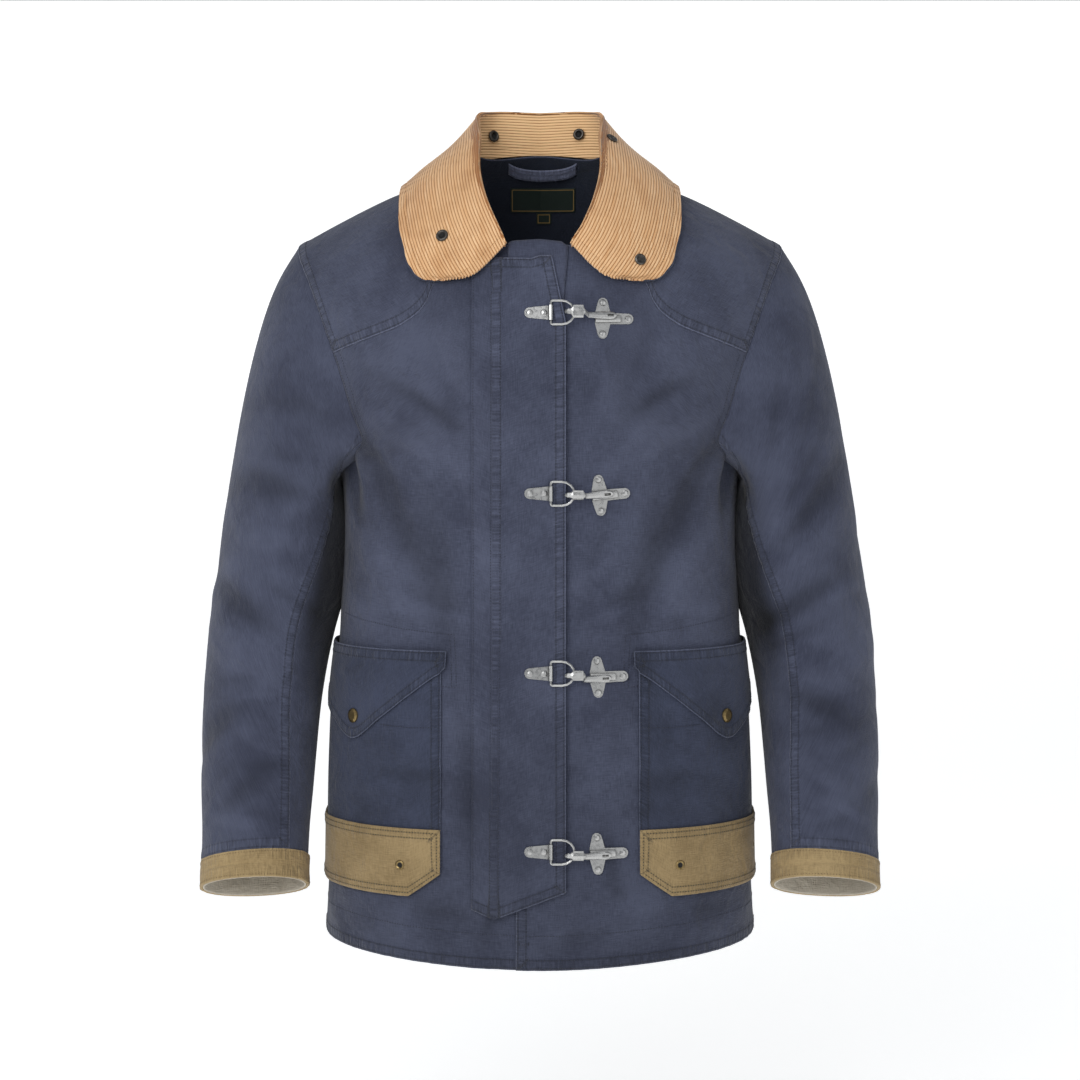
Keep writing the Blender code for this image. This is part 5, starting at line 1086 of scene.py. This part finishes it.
def ring_points(side, row, turns):
    """One ring of the sleeve: an ellipse-like loop, or near the armhole partly its outline."""
    outer_x, outer_z, inner_x, inner_z, y, depth, tilt, share = SLEEVE_RINGS[row, :8]
    outer, inner = np.array([side * outer_x, y, outer_z]), np.array([side * inner_x, y, inner_z])
    middle, arm = (outer + inner) / 2, (outer - inner) / 2
    tilt = math.radians(tilt)
    deep = depth * np.array([0, -math.cos(tilt), math.sin(tilt)])
    cosine, sine = np.cos(turns), np.sin(turns)
    fit = (np.abs(cosine) ** RING_ROUND + np.abs(sine) ** RING_ROUND) ** (-1 / RING_ROUND)
    points = middle + (cosine * fit)[..., None] * arm + ((1 - share) * sine * fit)[..., None] * deep
    if share:
        loop = armhole_loop(side, turns)
        ends = armhole_loop(side, np.array([0.0, math.pi]))
        middle, reach = (ends[0] + ends[1]) / 2, (ends[0] - ends[1]) / 2
        if share == 1:
            return loop
        points = points + share * (loop - middle - cosine[..., None] * reach)
    return points


def sleeve_skin(side, turns, rows):
    """Points of the sleeve at angles and fractional ring numbers given as equal arrays."""
    keys = np.arange(LAST_RING + 1)
    stack = np.stack([ring_points(side, int(key), turns.reshape(-1)) for key in keys])
    slopes = np.gradient(stack, axis=0)
    row = np.clip(np.floor(rows.reshape(-1)).astype(int), 0, LAST_RING - 1)
    t = (rows.reshape(-1) - row)[:, None]
    pick = np.arange(len(row))
    start = stack[row, pick] * (1 + 2 * t) * (1 - t) ** 2 + slopes[row, pick] * t * (1 - t) ** 2
    end = stack[row + 1, pick] * t * t * (3 - 2 * t) + slopes[row + 1, pick] * t * t * (t - 1)
    return (start + end).reshape(*turns.shape, 3)


def armhole_turns(under, count):
    """Angles at the armhole: the top sleeve's from back seam to front seam, or the rest."""
    front = np.concatenate([YOKE_SHARE * np.linspace(0, 1, 6),
                            YOKE_SHARE + (1 - YOKE_SHARE) * np.linspace(0, 1, 7)[1:]]) * math.pi
    back = -math.pi * np.linspace(1, 0, 12)
    knots = (
        np.concatenate([front[8:], back[1:4] + 2 * math.pi]) if under
        else np.concatenate([back[3:], front[1:9]])
    )
    return np.interp(np.linspace(0, len(knots) - 1, count), np.arange(len(knots)), knots)


def sleeve_turns(rows, under, count, crowding=0.55):
    """Angles of a sleeve piece's columns, row by row."""
    shares = spread(count, crowding)
    even = np.linspace(0, 1, count)
    top = np.interp(shares, even, armhole_turns(under, count))
    keys = np.arange(LAST_RING + 1)
    seams = np.radians(smooth(keys, SLEEVE_RINGS[:, 8:10], rows))
    start, end = (seams[:, 0], seams[:, 1]) if under else (seams[:, 1] - 2 * math.pi, seams[:, 0])
    settled = ease(rows, 0, 2)
    start = top[0] + (start - top[0]) * settled
    end = top[-1] + (end - top[-1]) * settled
    own = (top - top[0]) / (top[-1] - top[0])
    mixed = own + (shares - own) * ease(rows, 0, 4)[:, None]
    return start[:, None] + (end - start)[:, None] * mixed


def sleeve_relief(side, turns, rows):
    return folded(
        LEFT_SLEEVE_FOLDS if side > 0 else RIGHT_SLEEVE_FOLDS,
        lambda place: turned_from(turns, place) * SLEEVE_GIRTH,
        lambda ring: (rows - ring) * RING_PITCH,
    )


def body_shadow(turns, rows, under):
    """The body shades the sleeve's inner side from the armhole to the elbow."""
    inner = np.mod(np.degrees(turns), 360)
    facing = ease(inner, 114, 140) * ease(-inner, -250, -210)
    return (0.96 if under else 0.30) * facing * ease(rows, 0.8, 3.0) * ease(-rows, -10.5, -7.5)


def sleeve_axis(side, rows):
    """Middle of each ring."""
    middle = (SLEEVE_RINGS[:, [0, 1]] + SLEEVE_RINGS[:, [2, 3]]) / 2
    at = smooth(np.arange(LAST_RING + 1), np.column_stack([middle, SLEEVE_RINGS[:, 4]]), rows)
    return np.stack([side * at[..., 0], at[..., 2], at[..., 1]], axis=-1)


for side, suffix in ((-1, "right"), (1, "left")):
    for name, under, count, seams in (
        ("top_sleeve", False, 96, ("right", "top")), ("under_sleeve", True, 34, ()),
    ):
        rows = CUFF_ROW * spread(170, 0.4)
        turns = sleeve_turns(rows, under, count)
        grid = np.repeat(rows[:, None], count, axis=1)
        flat = sleeve_skin(side, turns, grid)
        normal = outward(flat, flat - sleeve_axis(side, rows)[:, None])
        run, off = seam_reach(flat, seams)
        rise = sleeve_relief(side, turns, grid) + seam_relief(run, off, 61 + side + under)
        rise = rise * ease(grid, 0, 0.25)
        points = flat + normal * rise[..., None]
        faces = outward(points, normal)
        # Painted shade in the sleeve's creases and where the body shades its inner side.
        shade = crease_shade(sleeve_relief(side, turns, grid)) - body_shadow(turns, grid, under)
        made = lay_grid(f"{name}_{suffix}_cloth", points, faces, NAVY, CLOTH, (run, off), shade)
        sheet_of(made, points, f"{name}_{suffix}")
        if not under:
            for inset in (FIRST_ROW, SECOND_ROW):
                threads.append(row_of_stitches(points, faces, "right", inset, (0.02, 0.004)))

# Cuffs. A band of khaki canvas, folded double and edge-stitched in dark thread, covers the end
# of each sleeve. Inside it is lined with pale grey twill.
CUFF_WALL, LINING, CUFF_PROUD, LINING_ROW = 0.0030, 0.0012, 0.0012, 12
TWILL_DEEP = "B5AC9C"
TWILL_PALE = "CBC3B4"
cuff_canvas = woven("khaki_cuff_canvas", KHAKI_DEEP, KHAKI_PALE, KHAKI_FADED, 0.8, 0.5, ())
khaki_threads = []
grey_twill = woven("grey_lining_twill", TWILL_DEEP, TWILL_PALE, "DAD4C8", 0.9, 0.2, ())
for side, suffix in ((-1, "right"), (1, "left")):
    for name, first, lift, thickness, material, slot, seams, rows_in in (
        ("cuff_band", CUFF_ROW, CUFF_PROUD, CUFF_WALL, cuff_canvas, "khaki_canvas",
         ("bottom", "top"), (0.0022,)),
        ("cuff_lining", LINING_ROW, -LAYER, LINING, grey_twill, "grey_twill", (), ()),
    ):
        rows = first + (LAST_RING - first) * spread(18 if first == CUFF_ROW else 30, 0.4)
        turns = np.concatenate(
            [sleeve_turns(rows, False, 80, 0.0)[:, :-1], sleeve_turns(rows, True, 31, 0.0)], axis=1)
        grid = np.repeat(rows[:, None], turns.shape[1], axis=1)
        flat = sleeve_skin(side, turns, grid)
        normal = outward(flat, flat - sleeve_axis(side, rows)[:, None])
        normal[:, 0] = normal[:, -1] = unit(normal[:, 0] + normal[:, -1])
        run, off = seam_reach(flat, seams)
        rise = lift + sleeve_relief(side, turns, grid)
        if seams:
            rise = rise + puckers(np.sin(turns) * 0.05, off, 71 + side, 0.00025, 0.017)
        points = flat + normal * rise[..., None]
        points[:, -1] = points[:, 0]
        faces = outward(points, normal)
        made = lay_grid(
            f"{name}_{suffix}_cloth", points, faces, (material,), thickness, (run, off), closed=True)
        sheet_of(made, points, f"{name}_{suffix}")
        for edge in seams:
            for inset in rows_in:
                khaki_threads.append(row_of_stitches(points, faces, edge, inset, (0, 0)))

# Collar. Wide-wale cotton corduroy with a low stand. Its ribs run along the collar, 3 mm apart,
# and it is topstitched 8 mm in from the edge of the leaf. The navy under collar shows as a rim.
CORDUROY, UNDER_COLLAR = 0.0025, 0.0014
COLLAR_SEAT, LEAF_LIFT = 0.0013, 0.0105
LEAF_DIP, LEFT_TIP_IN, TIP_FROM = 0.0100, 0.0030, 0.86
COLLAR_KEYS = np.array((0.0, 0.15, 0.30, 0.65, 1.0))  # seam, stand, roll, leaf and edge
UNDER_SHOWS = 0.018
# Share of the way to the front end, neck seam, roll, and the leaf's edge. Places on the skin are
# x and the height along the dome, which runs on past its top down the back.
COLLAR = np.array((
    (0.00, 0.0000, 0.1820, 0.0000, 0.073, 0.0960, 0.0000, 0.2280, 0.0065),
    (0.17, 0.0550, 0.1580, 0.0460, 0.059, 0.0955, 0.0700, 0.2080, 0.0065),
    (0.32, 0.0780, 0.1150, 0.0615, 0.018, 0.0870, 0.1190, 0.1660, 0.0065),
    (0.47, 0.0785, 0.0257, 0.0590, -0.045, 0.0560, 0.1330, 0.1000, 0.0075),
    (0.61, 0.0745, -0.0130, 0.0578, -0.085, 0.0230, 0.1335, -0.0100, 0.0075),
    (0.76, 0.0600, -0.0520, 0.0498, -0.115, -0.0098, 0.1275, -0.0540, 0.0065),
    (0.88, 0.0440, -0.0715, 0.0392, -0.128, -0.0350, 0.1210, -0.0780, 0.0070),
    (0.95, 0.0370, -0.0780, 0.0345, -0.131, -0.0455, 0.1085, -0.0940, 0.0075),
    (1.00, 0.0322, -0.0812, 0.0315, -0.132, -0.0525, 0.0890, -0.1000, 0.0085),
))
WALE_PITCH = 0.0030
WALE_DEPTH = 0.0011
COLLAR_ROW = 0.0085
COLLAR_SINK = 0.0007  # how far its row of stitches is drawn in
SCALLOP = 0.0008


def over_shoulder(x, over):
    """Place on the skin for an x, and a height that runs on over the shoulder."""
    height = np.where(over > DOME_TOP, 2 * DOME_TOP - over, over)
    around = np.where(over > DOME_TOP, around_at(x, height, True), around_at(x, height))
    return skin(around, height), skin_normal(around, height)


def collar_skin(along, across):
    """Points of the collar's face: along from -1 to 1, across from the seam to the edge."""
    flat = along.reshape(-1)
    at = smooth(COLLAR[:, 0], COLLAR[:, 1:], np.abs(flat)).T
    neck_x, neck_over, roll_x, roll_y, roll_z, edge_x, edge_over, edge_lift = at
    neck, up = over_shoulder(neck_x, neck_over)
    neck = neck + up * COLLAR_SEAT
    tip = ease(np.abs(flat), TIP_FROM, 1.0)
    leaf, up = over_shoulder((neck_x + edge_x) / 2, (neck_over + edge_over) / 2 - LEAF_DIP * tip)
    leaf = leaf + up * LEAF_LIFT
    edge, up = over_shoulder(edge_x, edge_over)
    edge = edge + up * edge_lift[:, None]
    roll = np.stack([roll_x, roll_y, roll_z], axis=-1)
    lines = np.stack([neck, (neck + roll) / 2, roll, leaf, edge])
    lines[..., 0] *= np.where(flat < 0, -1.0, 1.0)
    lines[..., 0] -= LEFT_TIP_IN * tip * (flat > 0)
    slopes = np.gradient(lines, COLLAR_KEYS, axis=0)
    share = across.reshape(-1)
    row = np.clip(np.searchsorted(COLLAR_KEYS, share, side="right") - 1, 0, len(COLLAR_KEYS) - 2)
    span = (COLLAR_KEYS[row + 1] - COLLAR_KEYS[row])[:, None]
    t = (share - COLLAR_KEYS[row])[:, None] / span
    pick = np.arange(len(row))
    start = lines[row, pick] * (1 + 2 * t) * (1 - t) ** 2 + slopes[row, pick] * span * t * (1 - t) ** 2
    end = lines[row + 1, pick] * t * t * (3 - 2 * t) + slopes[row + 1, pick] * span * t * t * (t - 1)
    return (start + end).reshape(*along.shape, 3)


def collar_face(points):
    return unit(np.cross(np.gradient(points, axis=1), np.gradient(points, axis=0)))


# Cut-pile cotton corduroy: soft round ribs, paler where they are rubbed, with painted shade between.
TAN_DEEP = "935F34"
TAN_PALE = "D0A070"
TAN_RUBBED = "E8C49A"
TAN_STAND_LIT = "FFD9A6"
corduroy, tree, shader = new_material("tan_corduroy_pile", TAN_PALE, 0.95)
shader.inputs["Sheen Weight"].default_value = 0.35
shader.inputs["Sheen Roughness"].default_value = 0.4
shader.inputs["Specular IOR Level"].default_value = 0.15
place = add_node(tree, "ShaderNodeTexCoord").outputs["Object"]
ribs = add_node(tree, "ShaderNodeUVMap", uv_map="grain").outputs["UV"]
streaks = ranged(tree, noise(tree, stretched(tree, ribs, (14, 330, 1)), 1.0, 3.0), 0.22, 0.80)
patches = ranged(tree, noise(tree, place, 34.0, 4.0), 0.50, 0.74, 0.0, 0.30)
pile_colour = blend(tree, streaks, linear(TAN_PALE), linear(TAN_RUBBED))
pile_colour = blend(tree, patches, pile_colour, linear(TAN_DEEP))
# The stand at the back of the neck is painted paler than the leaf, as light falling on it.
depth = add_node(tree, "ShaderNodeSeparateXYZ", {"Vector": place}).outputs["Y"]
pile_colour = blend(tree, ranged(tree, depth, 0.0, 0.045, 0.0, 0.65), pile_colour, linear(TAN_STAND_LIT))
# The seam map's second coordinate counts the ribs, and each valley lies halfway between two, painted
# darker as shade.
valley_shade = ranged(tree, reckon(tree, "PINGPONG", parts_of(tree, "seam")["Y"], 0.5), 0.30, 0.47, 0.0, 0.95)
tree.links.new(blend(tree, valley_shade, pile_colour, linear(TAN_DEEP)), shader.inputs["Base Color"])
pile = noise(tree, place, 1900.0, 2.0)
tree.links.new(raised(tree, pile, 0.35, 0.0004), shader.inputs["Normal"])

COLUMNS, STAND_ROWS, LEAF_ROWS = 131, 86, 220
CROWDING = 0.86  # draws the columns together toward the tips
quarter = math.pi / 2 * CROWDING
along = np.sin(np.linspace(-quarter, quarter, COLUMNS)) / math.sin(quarter)
across = np.concatenate([
    np.linspace(0, COLLAR_KEYS[2], STAND_ROWS), np.linspace(COLLAR_KEYS[2], 1.0, LEAF_ROWS)[1:],
])
run_grid, cut_grid = np.meshgrid(along, across)
flat = collar_skin(run_grid, cut_grid)
normal = collar_face(flat)
from_seam = lengths(flat, 0)
roll_row = STAND_ROWS - 1
from_roll = from_seam - from_seam[roll_row]
edge_off = from_seam[-1:] - from_seam
ends = np.minimum(lengths(flat, 1), lengths(flat, 1)[:, -1:] - lengths(flat, 1))
on_leaf = cut_grid > COLLAR_KEYS[2]
row_off = np.where(on_leaf, np.minimum(edge_off, ends), NO_SEAM)
row_off = np.where(on_leaf, row_off, np.minimum(from_seam, NO_SEAM))
drawn_in = np.exp(-(((row_off - COLLAR_ROW) / 0.0014) ** 2))
rib = np.abs(np.cos(math.pi * from_roll / WALE_PITCH)) ** 0.6
soften = ease(ends, 0.0, 0.0012) * np.where(on_leaf, ease(edge_off, 0, 0.0012), 1)
waves = puckers(lengths(flat, 1), row_off, 81, 0.00030, 0.014, 0.014)
rise = WALE_DEPTH * (rib - 1) * (0.3 + 0.7 * soften) - COLLAR_SINK * drawn_in + waves * on_leaf
# The short front ends are cut across the ribs, which leaves them scalloped.
outwards = unit(np.gradient(flat, axis=1)) * np.sign(run_grid)[..., None]
scallop = SCALLOP * (rib - 0.5) * np.exp(-((ends / 0.0020) ** 2)) * on_leaf
points = flat + normal * rise[..., None] + outwards * scallop[..., None]
collar = lay_grid("collar_top_cloth", points, normal, (corduroy,), CORDUROY - WALE_DEPTH / 2,
                  (run_grid, 40 + from_roll / WALE_PITCH))
sheet_of(collar, flat, "collar_top")
tan_threads = []
smooth_face = flat - normal * (COLLAR_SINK + 0.2 * WALE_DEPTH)
leaf_rows = slice(roll_row + 6, None)
leaf_face, leaf_normal = smooth_face[leaf_rows], normal[leaf_rows]
for edge, first in (("top", 0.008), ("left", 0.002), ("right", 0.002)):
    tan_threads.append(row_of_stitches(leaf_face, leaf_normal, edge, COLLAR_ROW, (first, 0.008)))

run_grid, cut_grid = np.meshgrid(np.linspace(-1, 1, 120), np.linspace(0.52, 1 + UNDER_SHOWS, 24))
flat = collar_skin(run_grid, cut_grid)
normal = collar_face(flat)
points = flat - normal * (CORDUROY + 2 * GAP)
under_collar = lay_grid("collar_under_cloth", points, normal, NAVY, UNDER_COLLAR)
sheet_of(under_collar, points, "collar_under")

# Inside the neck. A loop of canvas to hang the jacket by, a woven label with a plain gold border,
# and a smaller tab below it. The label and tab are left without words.


def back_inside(x, z, clearance):
    """Points on the inner face of the back, at each x and z, and its normals."""
    height = height_at(x, z)
    around = around_at(x, height, True)
    normal = skin_normal(around, height)
    return skin(around, height) - normal * (clearance + CLOTH), -normal


share = np.linspace(0, 1, 41)
v = np.linspace(0, 1, 9)[:, None]
loop_x = -0.0330 + 0.0715 * share[None] + 0 * v
loop_z = 0.0300 + 0.0105 * v + 0.0040 * (2 * share - 1) ** 4
points, normal = back_inside(loop_x, loop_z, GAP)
stand_off = 0.0085 * np.clip(np.sin(math.pi * share), 0, 1)[None] ** 0.7
points = points + np.stack([0 * stand_off, -stand_off, -0.4 * stand_off], axis=-1)
points = points + normal * (0.0004 * np.sin(math.pi * v) ** 0.5)[..., None]
loop = lay_grid("hanger_loop_cloth", points, outward(points, normal), (navy_canvas,), 0.0013,
                seam_reach(points, ("bottom", "top")), 0.9 + 0 * loop_x)
sheet_of(loop, points, "hanger_loop")

# Damask-woven label cloth: fine satin, dark green with a gold border woven in.
LABEL_GREEN, LABEL_GOLD, BORDER_IN = "10241C", "A8874A", 0.0018
label_cloth, tree, shader = new_material("damask_label", LABEL_GREEN, 0.6)
near = reckon(tree, "ABSOLUTE", reckon(tree, "SUBTRACT", parts_of(tree, "seam")["Y"], BORDER_IN))
line = ranged(tree, near, 0.0006, 0.0003, 0.0, 0.75)
tree.links.new(blend(tree, line, linear(LABEL_GREEN), linear(LABEL_GOLD)), shader.inputs["Base Color"])
yarns = add_node(tree, "ShaderNodeUVMap", uv_map="grain").outputs["UV"]
weft = add_node(tree, "ShaderNodeTexWave", {
    "Vector": yarns, "Scale": 900.0, "Distortion": 0.5}, bands_direction="Y").outputs["Fac"]
tree.links.new(raised(tree, weft, 0.3, 0.0002), shader.inputs["Normal"])
for name, left, right, low, high in (
    ("neck_label", -0.031, 0.037, -0.003, 0.021), ("size_tab", -0.004, 0.012, -0.015, -0.0035),
):
    x, z = np.meshgrid(np.linspace(left, right, 60), np.linspace(low, high, 26))
    points, normal = back_inside(x, z, 0.0009)
    made = lay_grid(f"{name}_cloth", points, outward(points, normal), (label_cloth,), 0.0008,
                    seam_reach(points, ("left", "right", "bottom", "top")))
    sheet_of(made, points, name)

# Topstitching. Lockstitch in thick polyester-cotton thread: navy on the canvas, dark on the
# khaki, tan on the corduroy. Each stitch is a small bead of thread that sinks at both ends.


def sew(name, lines, colour, pitch):
    """All the stitches in one thread, along lines of points that lie on the cloth."""
    made, tree, shader = new_material(f"{name}_thread", colour, 0.7)
    place = add_node(tree, "ShaderNodeTexCoord").outputs["Object"]
    twist = ranged(tree, noise(tree, place, 260.0, 2.0), 0.3, 0.7, 0.55, 1.15)
    tree.links.new(blend(tree, 1.0, linear(colour), twist, "MULTIPLY"), shader.inputs["Base Color"])
    whole = bmesh.new()
    spare = bpy.data.meshes.new("spare")
    for points, normals in lines:
        if len(points) < 3:
            continue
        run = np.concatenate([[0], np.cumsum(np.linalg.norm(np.diff(points, axis=0), axis=1))])
        stops = np.arange(pitch / 2, run[-1], pitch)
        at = np.stack([np.interp(stops, run, points[:, k]) for k in range(3)], axis=-1)
        out = unit(np.stack([np.interp(stops, run, normals[:, k]) for k in range(3)], axis=-1))
        way = unit(np.gradient(at, axis=0)) if len(at) > 1 else np.array([[1.0, 0, 0]])
        small = bmesh.new()
        for point, up, ahead in zip(at, out, way):
            aside = unit(np.cross(up, ahead))
            turn = np.eye(4)
            for column, (axis, size) in enumerate(zip((ahead, aside, up), STITCH)):
                turn[:3, column] = axis * size
            turn[:3, 3] = point + up * STITCH[2] * 0.15
            bmesh.ops.create_icosphere(small, subdivisions=1, radius=0.5, matrix=Matrix(turn.tolist()))
        small.to_mesh(spare)
        small.free()
        whole.from_mesh(spare)
    bpy.data.meshes.remove(spare)
    bmesh.ops.recalc_face_normals(whole, faces=whole.faces)
    mesh = bpy.data.meshes.new(name)
    whole.to_mesh(mesh)
    whole.free()
    mesh.shade_smooth()
    mesh.materials.append(made)
    stitched = bpy.data.objects.new(name, mesh)
    bpy.context.scene.collection.objects.link(stitched)
    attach(stitched, "root")


sew("navy_stitching", threads, NAVY_THREAD, STITCH_PITCH)
sew("dark_stitching", dark_threads, DARK_THREAD, STITCH_PITCH)
sew("khaki_stitching", khaki_threads, KHAKI_DEEP, STITCH_PITCH)
sew("tan_stitching", tan_threads, "C99F6E", STITCH_PITCH)

# Clasps. Stamped and tumbled steel, nickel-plated: a riveted plate with a loose dee on the storm
# flap, and a snap hook on a three-armed plate on the left front. Their shapes are the solids' own.
nickel, tree, shader = new_material("tumbled_nickel_plate", "C9CACB", 0.24, 1.0)
place = add_node(tree, "ShaderNodeTexCoord").outputs["Object"]
tumbled = noise(tree, place, 260.0, 4.0)
tree.links.new(ranged(tree, tumbled, 0.3, 0.7, 0.20, 0.38), shader.inputs["Roughness"])
# Painted shade darkens the hollows round the rivets and under the hook.
hollow = add_node(tree, "ShaderNodeAmbientOcclusion", {"Distance": 0.003}, samples=8).outputs["AO"]
hollow_shaded_colour = blend(tree, ranged(tree, hollow, 0.45, 0.95), linear("4C4B49"), linear("B2B2B1"))
tree.links.new(hollow_shaded_colour, shader.inputs["Base Color"])
tree.links.new(raised(tree, tumbled, 0.15, 0.0002), shader.inputs["Normal"])


def aged_metal(name, colour, roughness, deep, bright, scale, detail):
    """Metal that is darkened in patches and bright where it is rubbed."""
    made, tree, shader = new_material(name, colour, roughness, 1.0)
    place = add_node(tree, "ShaderNodeTexCoord").outputs["Object"]
    patches = noise(tree, place, scale, detail)
    tree.links.new(blend(tree, patches, linear(deep), linear(bright)), shader.inputs["Base Color"])
    return made


# Antique brass: lacquered brown in the hollows, bright where it is rubbed.
brass = aged_metal("antique_brass", "8A744A", 0.34, "54462E", "AE9768", 330.0, 3.0)
# Blackened steel press studs: oxide over a turned cap, worn to bare metal at the rim.
oxide = aged_metal("blackened_steel", "3B3836", 0.38, "262422", "6A6662", 400.0, 2.0)

# Painted shade: a near-black face over the hollow inside a socket or an eyelet.
pit_shade, tree, shader = new_material("painted_shade_in_hollow", "0B0B0C", 0.8)
# Radius and height of their outlines, from the cloth at the rim in to the middle.
SOCKET = ((0.0060, 0.0), (0.0060, 0.0010), (0.0052, 0.0019), (0.0038, 0.0020), (0.0031, 0.0013),
          (0.0030, 0.0004), (0.0, 0.0004))
EYELET = ((0.0046, 0.0), (0.0046, 0.0007), (0.0039, 0.0013), (0.0030, 0.0012), (0.0024, 0.0004),
          (0.0, 0.0003))


def turn_fitting(node, profile, material, pit):
    """A turned fitting in place of a node: its profile is radius and height above the cloth."""
    corners = np.array([tuple(node.matrix_world @ vert.co) for vert in node.data.vertices])
    middle = corners.mean(axis=0)
    spread_of = np.linalg.svd(corners - middle, full_matrices=False)[2]
    out = spread_of[2] * (1 if spread_of[2][1] < 0 else -1)
    side = spread_of[0]
    middle = middle + out * ((corners - middle) @ out).min()
    shape = bmesh.new()
    ring = [shape.verts.new(middle + side * radius + out * high) for radius, high in profile]
    edges = [shape.edges.new(pair) for pair in zip(ring, ring[1:])]
    bmesh.ops.spin(shape, geom=ring + edges, cent=middle, axis=out, angle=2 * math.pi, steps=36,
                   use_merge=True, use_duplicate=False)
    bmesh.ops.remove_doubles(shape, verts=shape.verts, dist=1e-6)
    rim = [edge for edge in shape.edges if edge.is_boundary]
    bmesh.ops.contextual_create(shape, geom=rim)
    bmesh.ops.recalc_face_normals(shape, faces=shape.faces)
    for face in shape.faces:
        away = np.array(face.calc_center_median()) - middle
        away = away - out * (away @ out)
        face.material_index = int(np.linalg.norm(away) < pit)
        face.smooth = True
    mesh = bpy.data.meshes.new(f"{node.name}_turned")
    shape.to_mesh(mesh)
    shape.free()
    mesh.materials.append(material)
    mesh.materials.append(pit_shade)
    made = bpy.data.objects.new(f"{node.name}_turned", mesh)
    bpy.context.scene.collection.objects.link(made)
    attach(made, "root")
    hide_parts(node.name)


# The fifth collar stud is a plain cap, as are the two on the pockets, and keeps its solid's shape.
METALS = {"dee": nickel, "snap": nickel, "hook": nickel, "pocket_stud": brass, "collar_stud_5": oxide}
for name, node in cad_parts.items():
    kept_metal = [metal for start, metal in METALS.items() if name.startswith(start)]
    if name.startswith("eyelet"):
        turn_fitting(node, EYELET, brass, EYELET[-2][0])
    elif name.startswith("collar_stud") and not kept_metal:
        turn_fitting(node, SOCKET, oxide, SOCKET[-2][0])
    if not kept_metal:
        continue
    metal = kept_metal[0]
    node.data.materials.clear()
    node.data.materials.append(metal)
    edge = node.modifiers.new("rounded_edges", "BEVEL")
    edge.width = 0.0003
    edge.segments = 2
    edge.limit_method = "ANGLE"
    edge.angle_limit = math.radians(50)
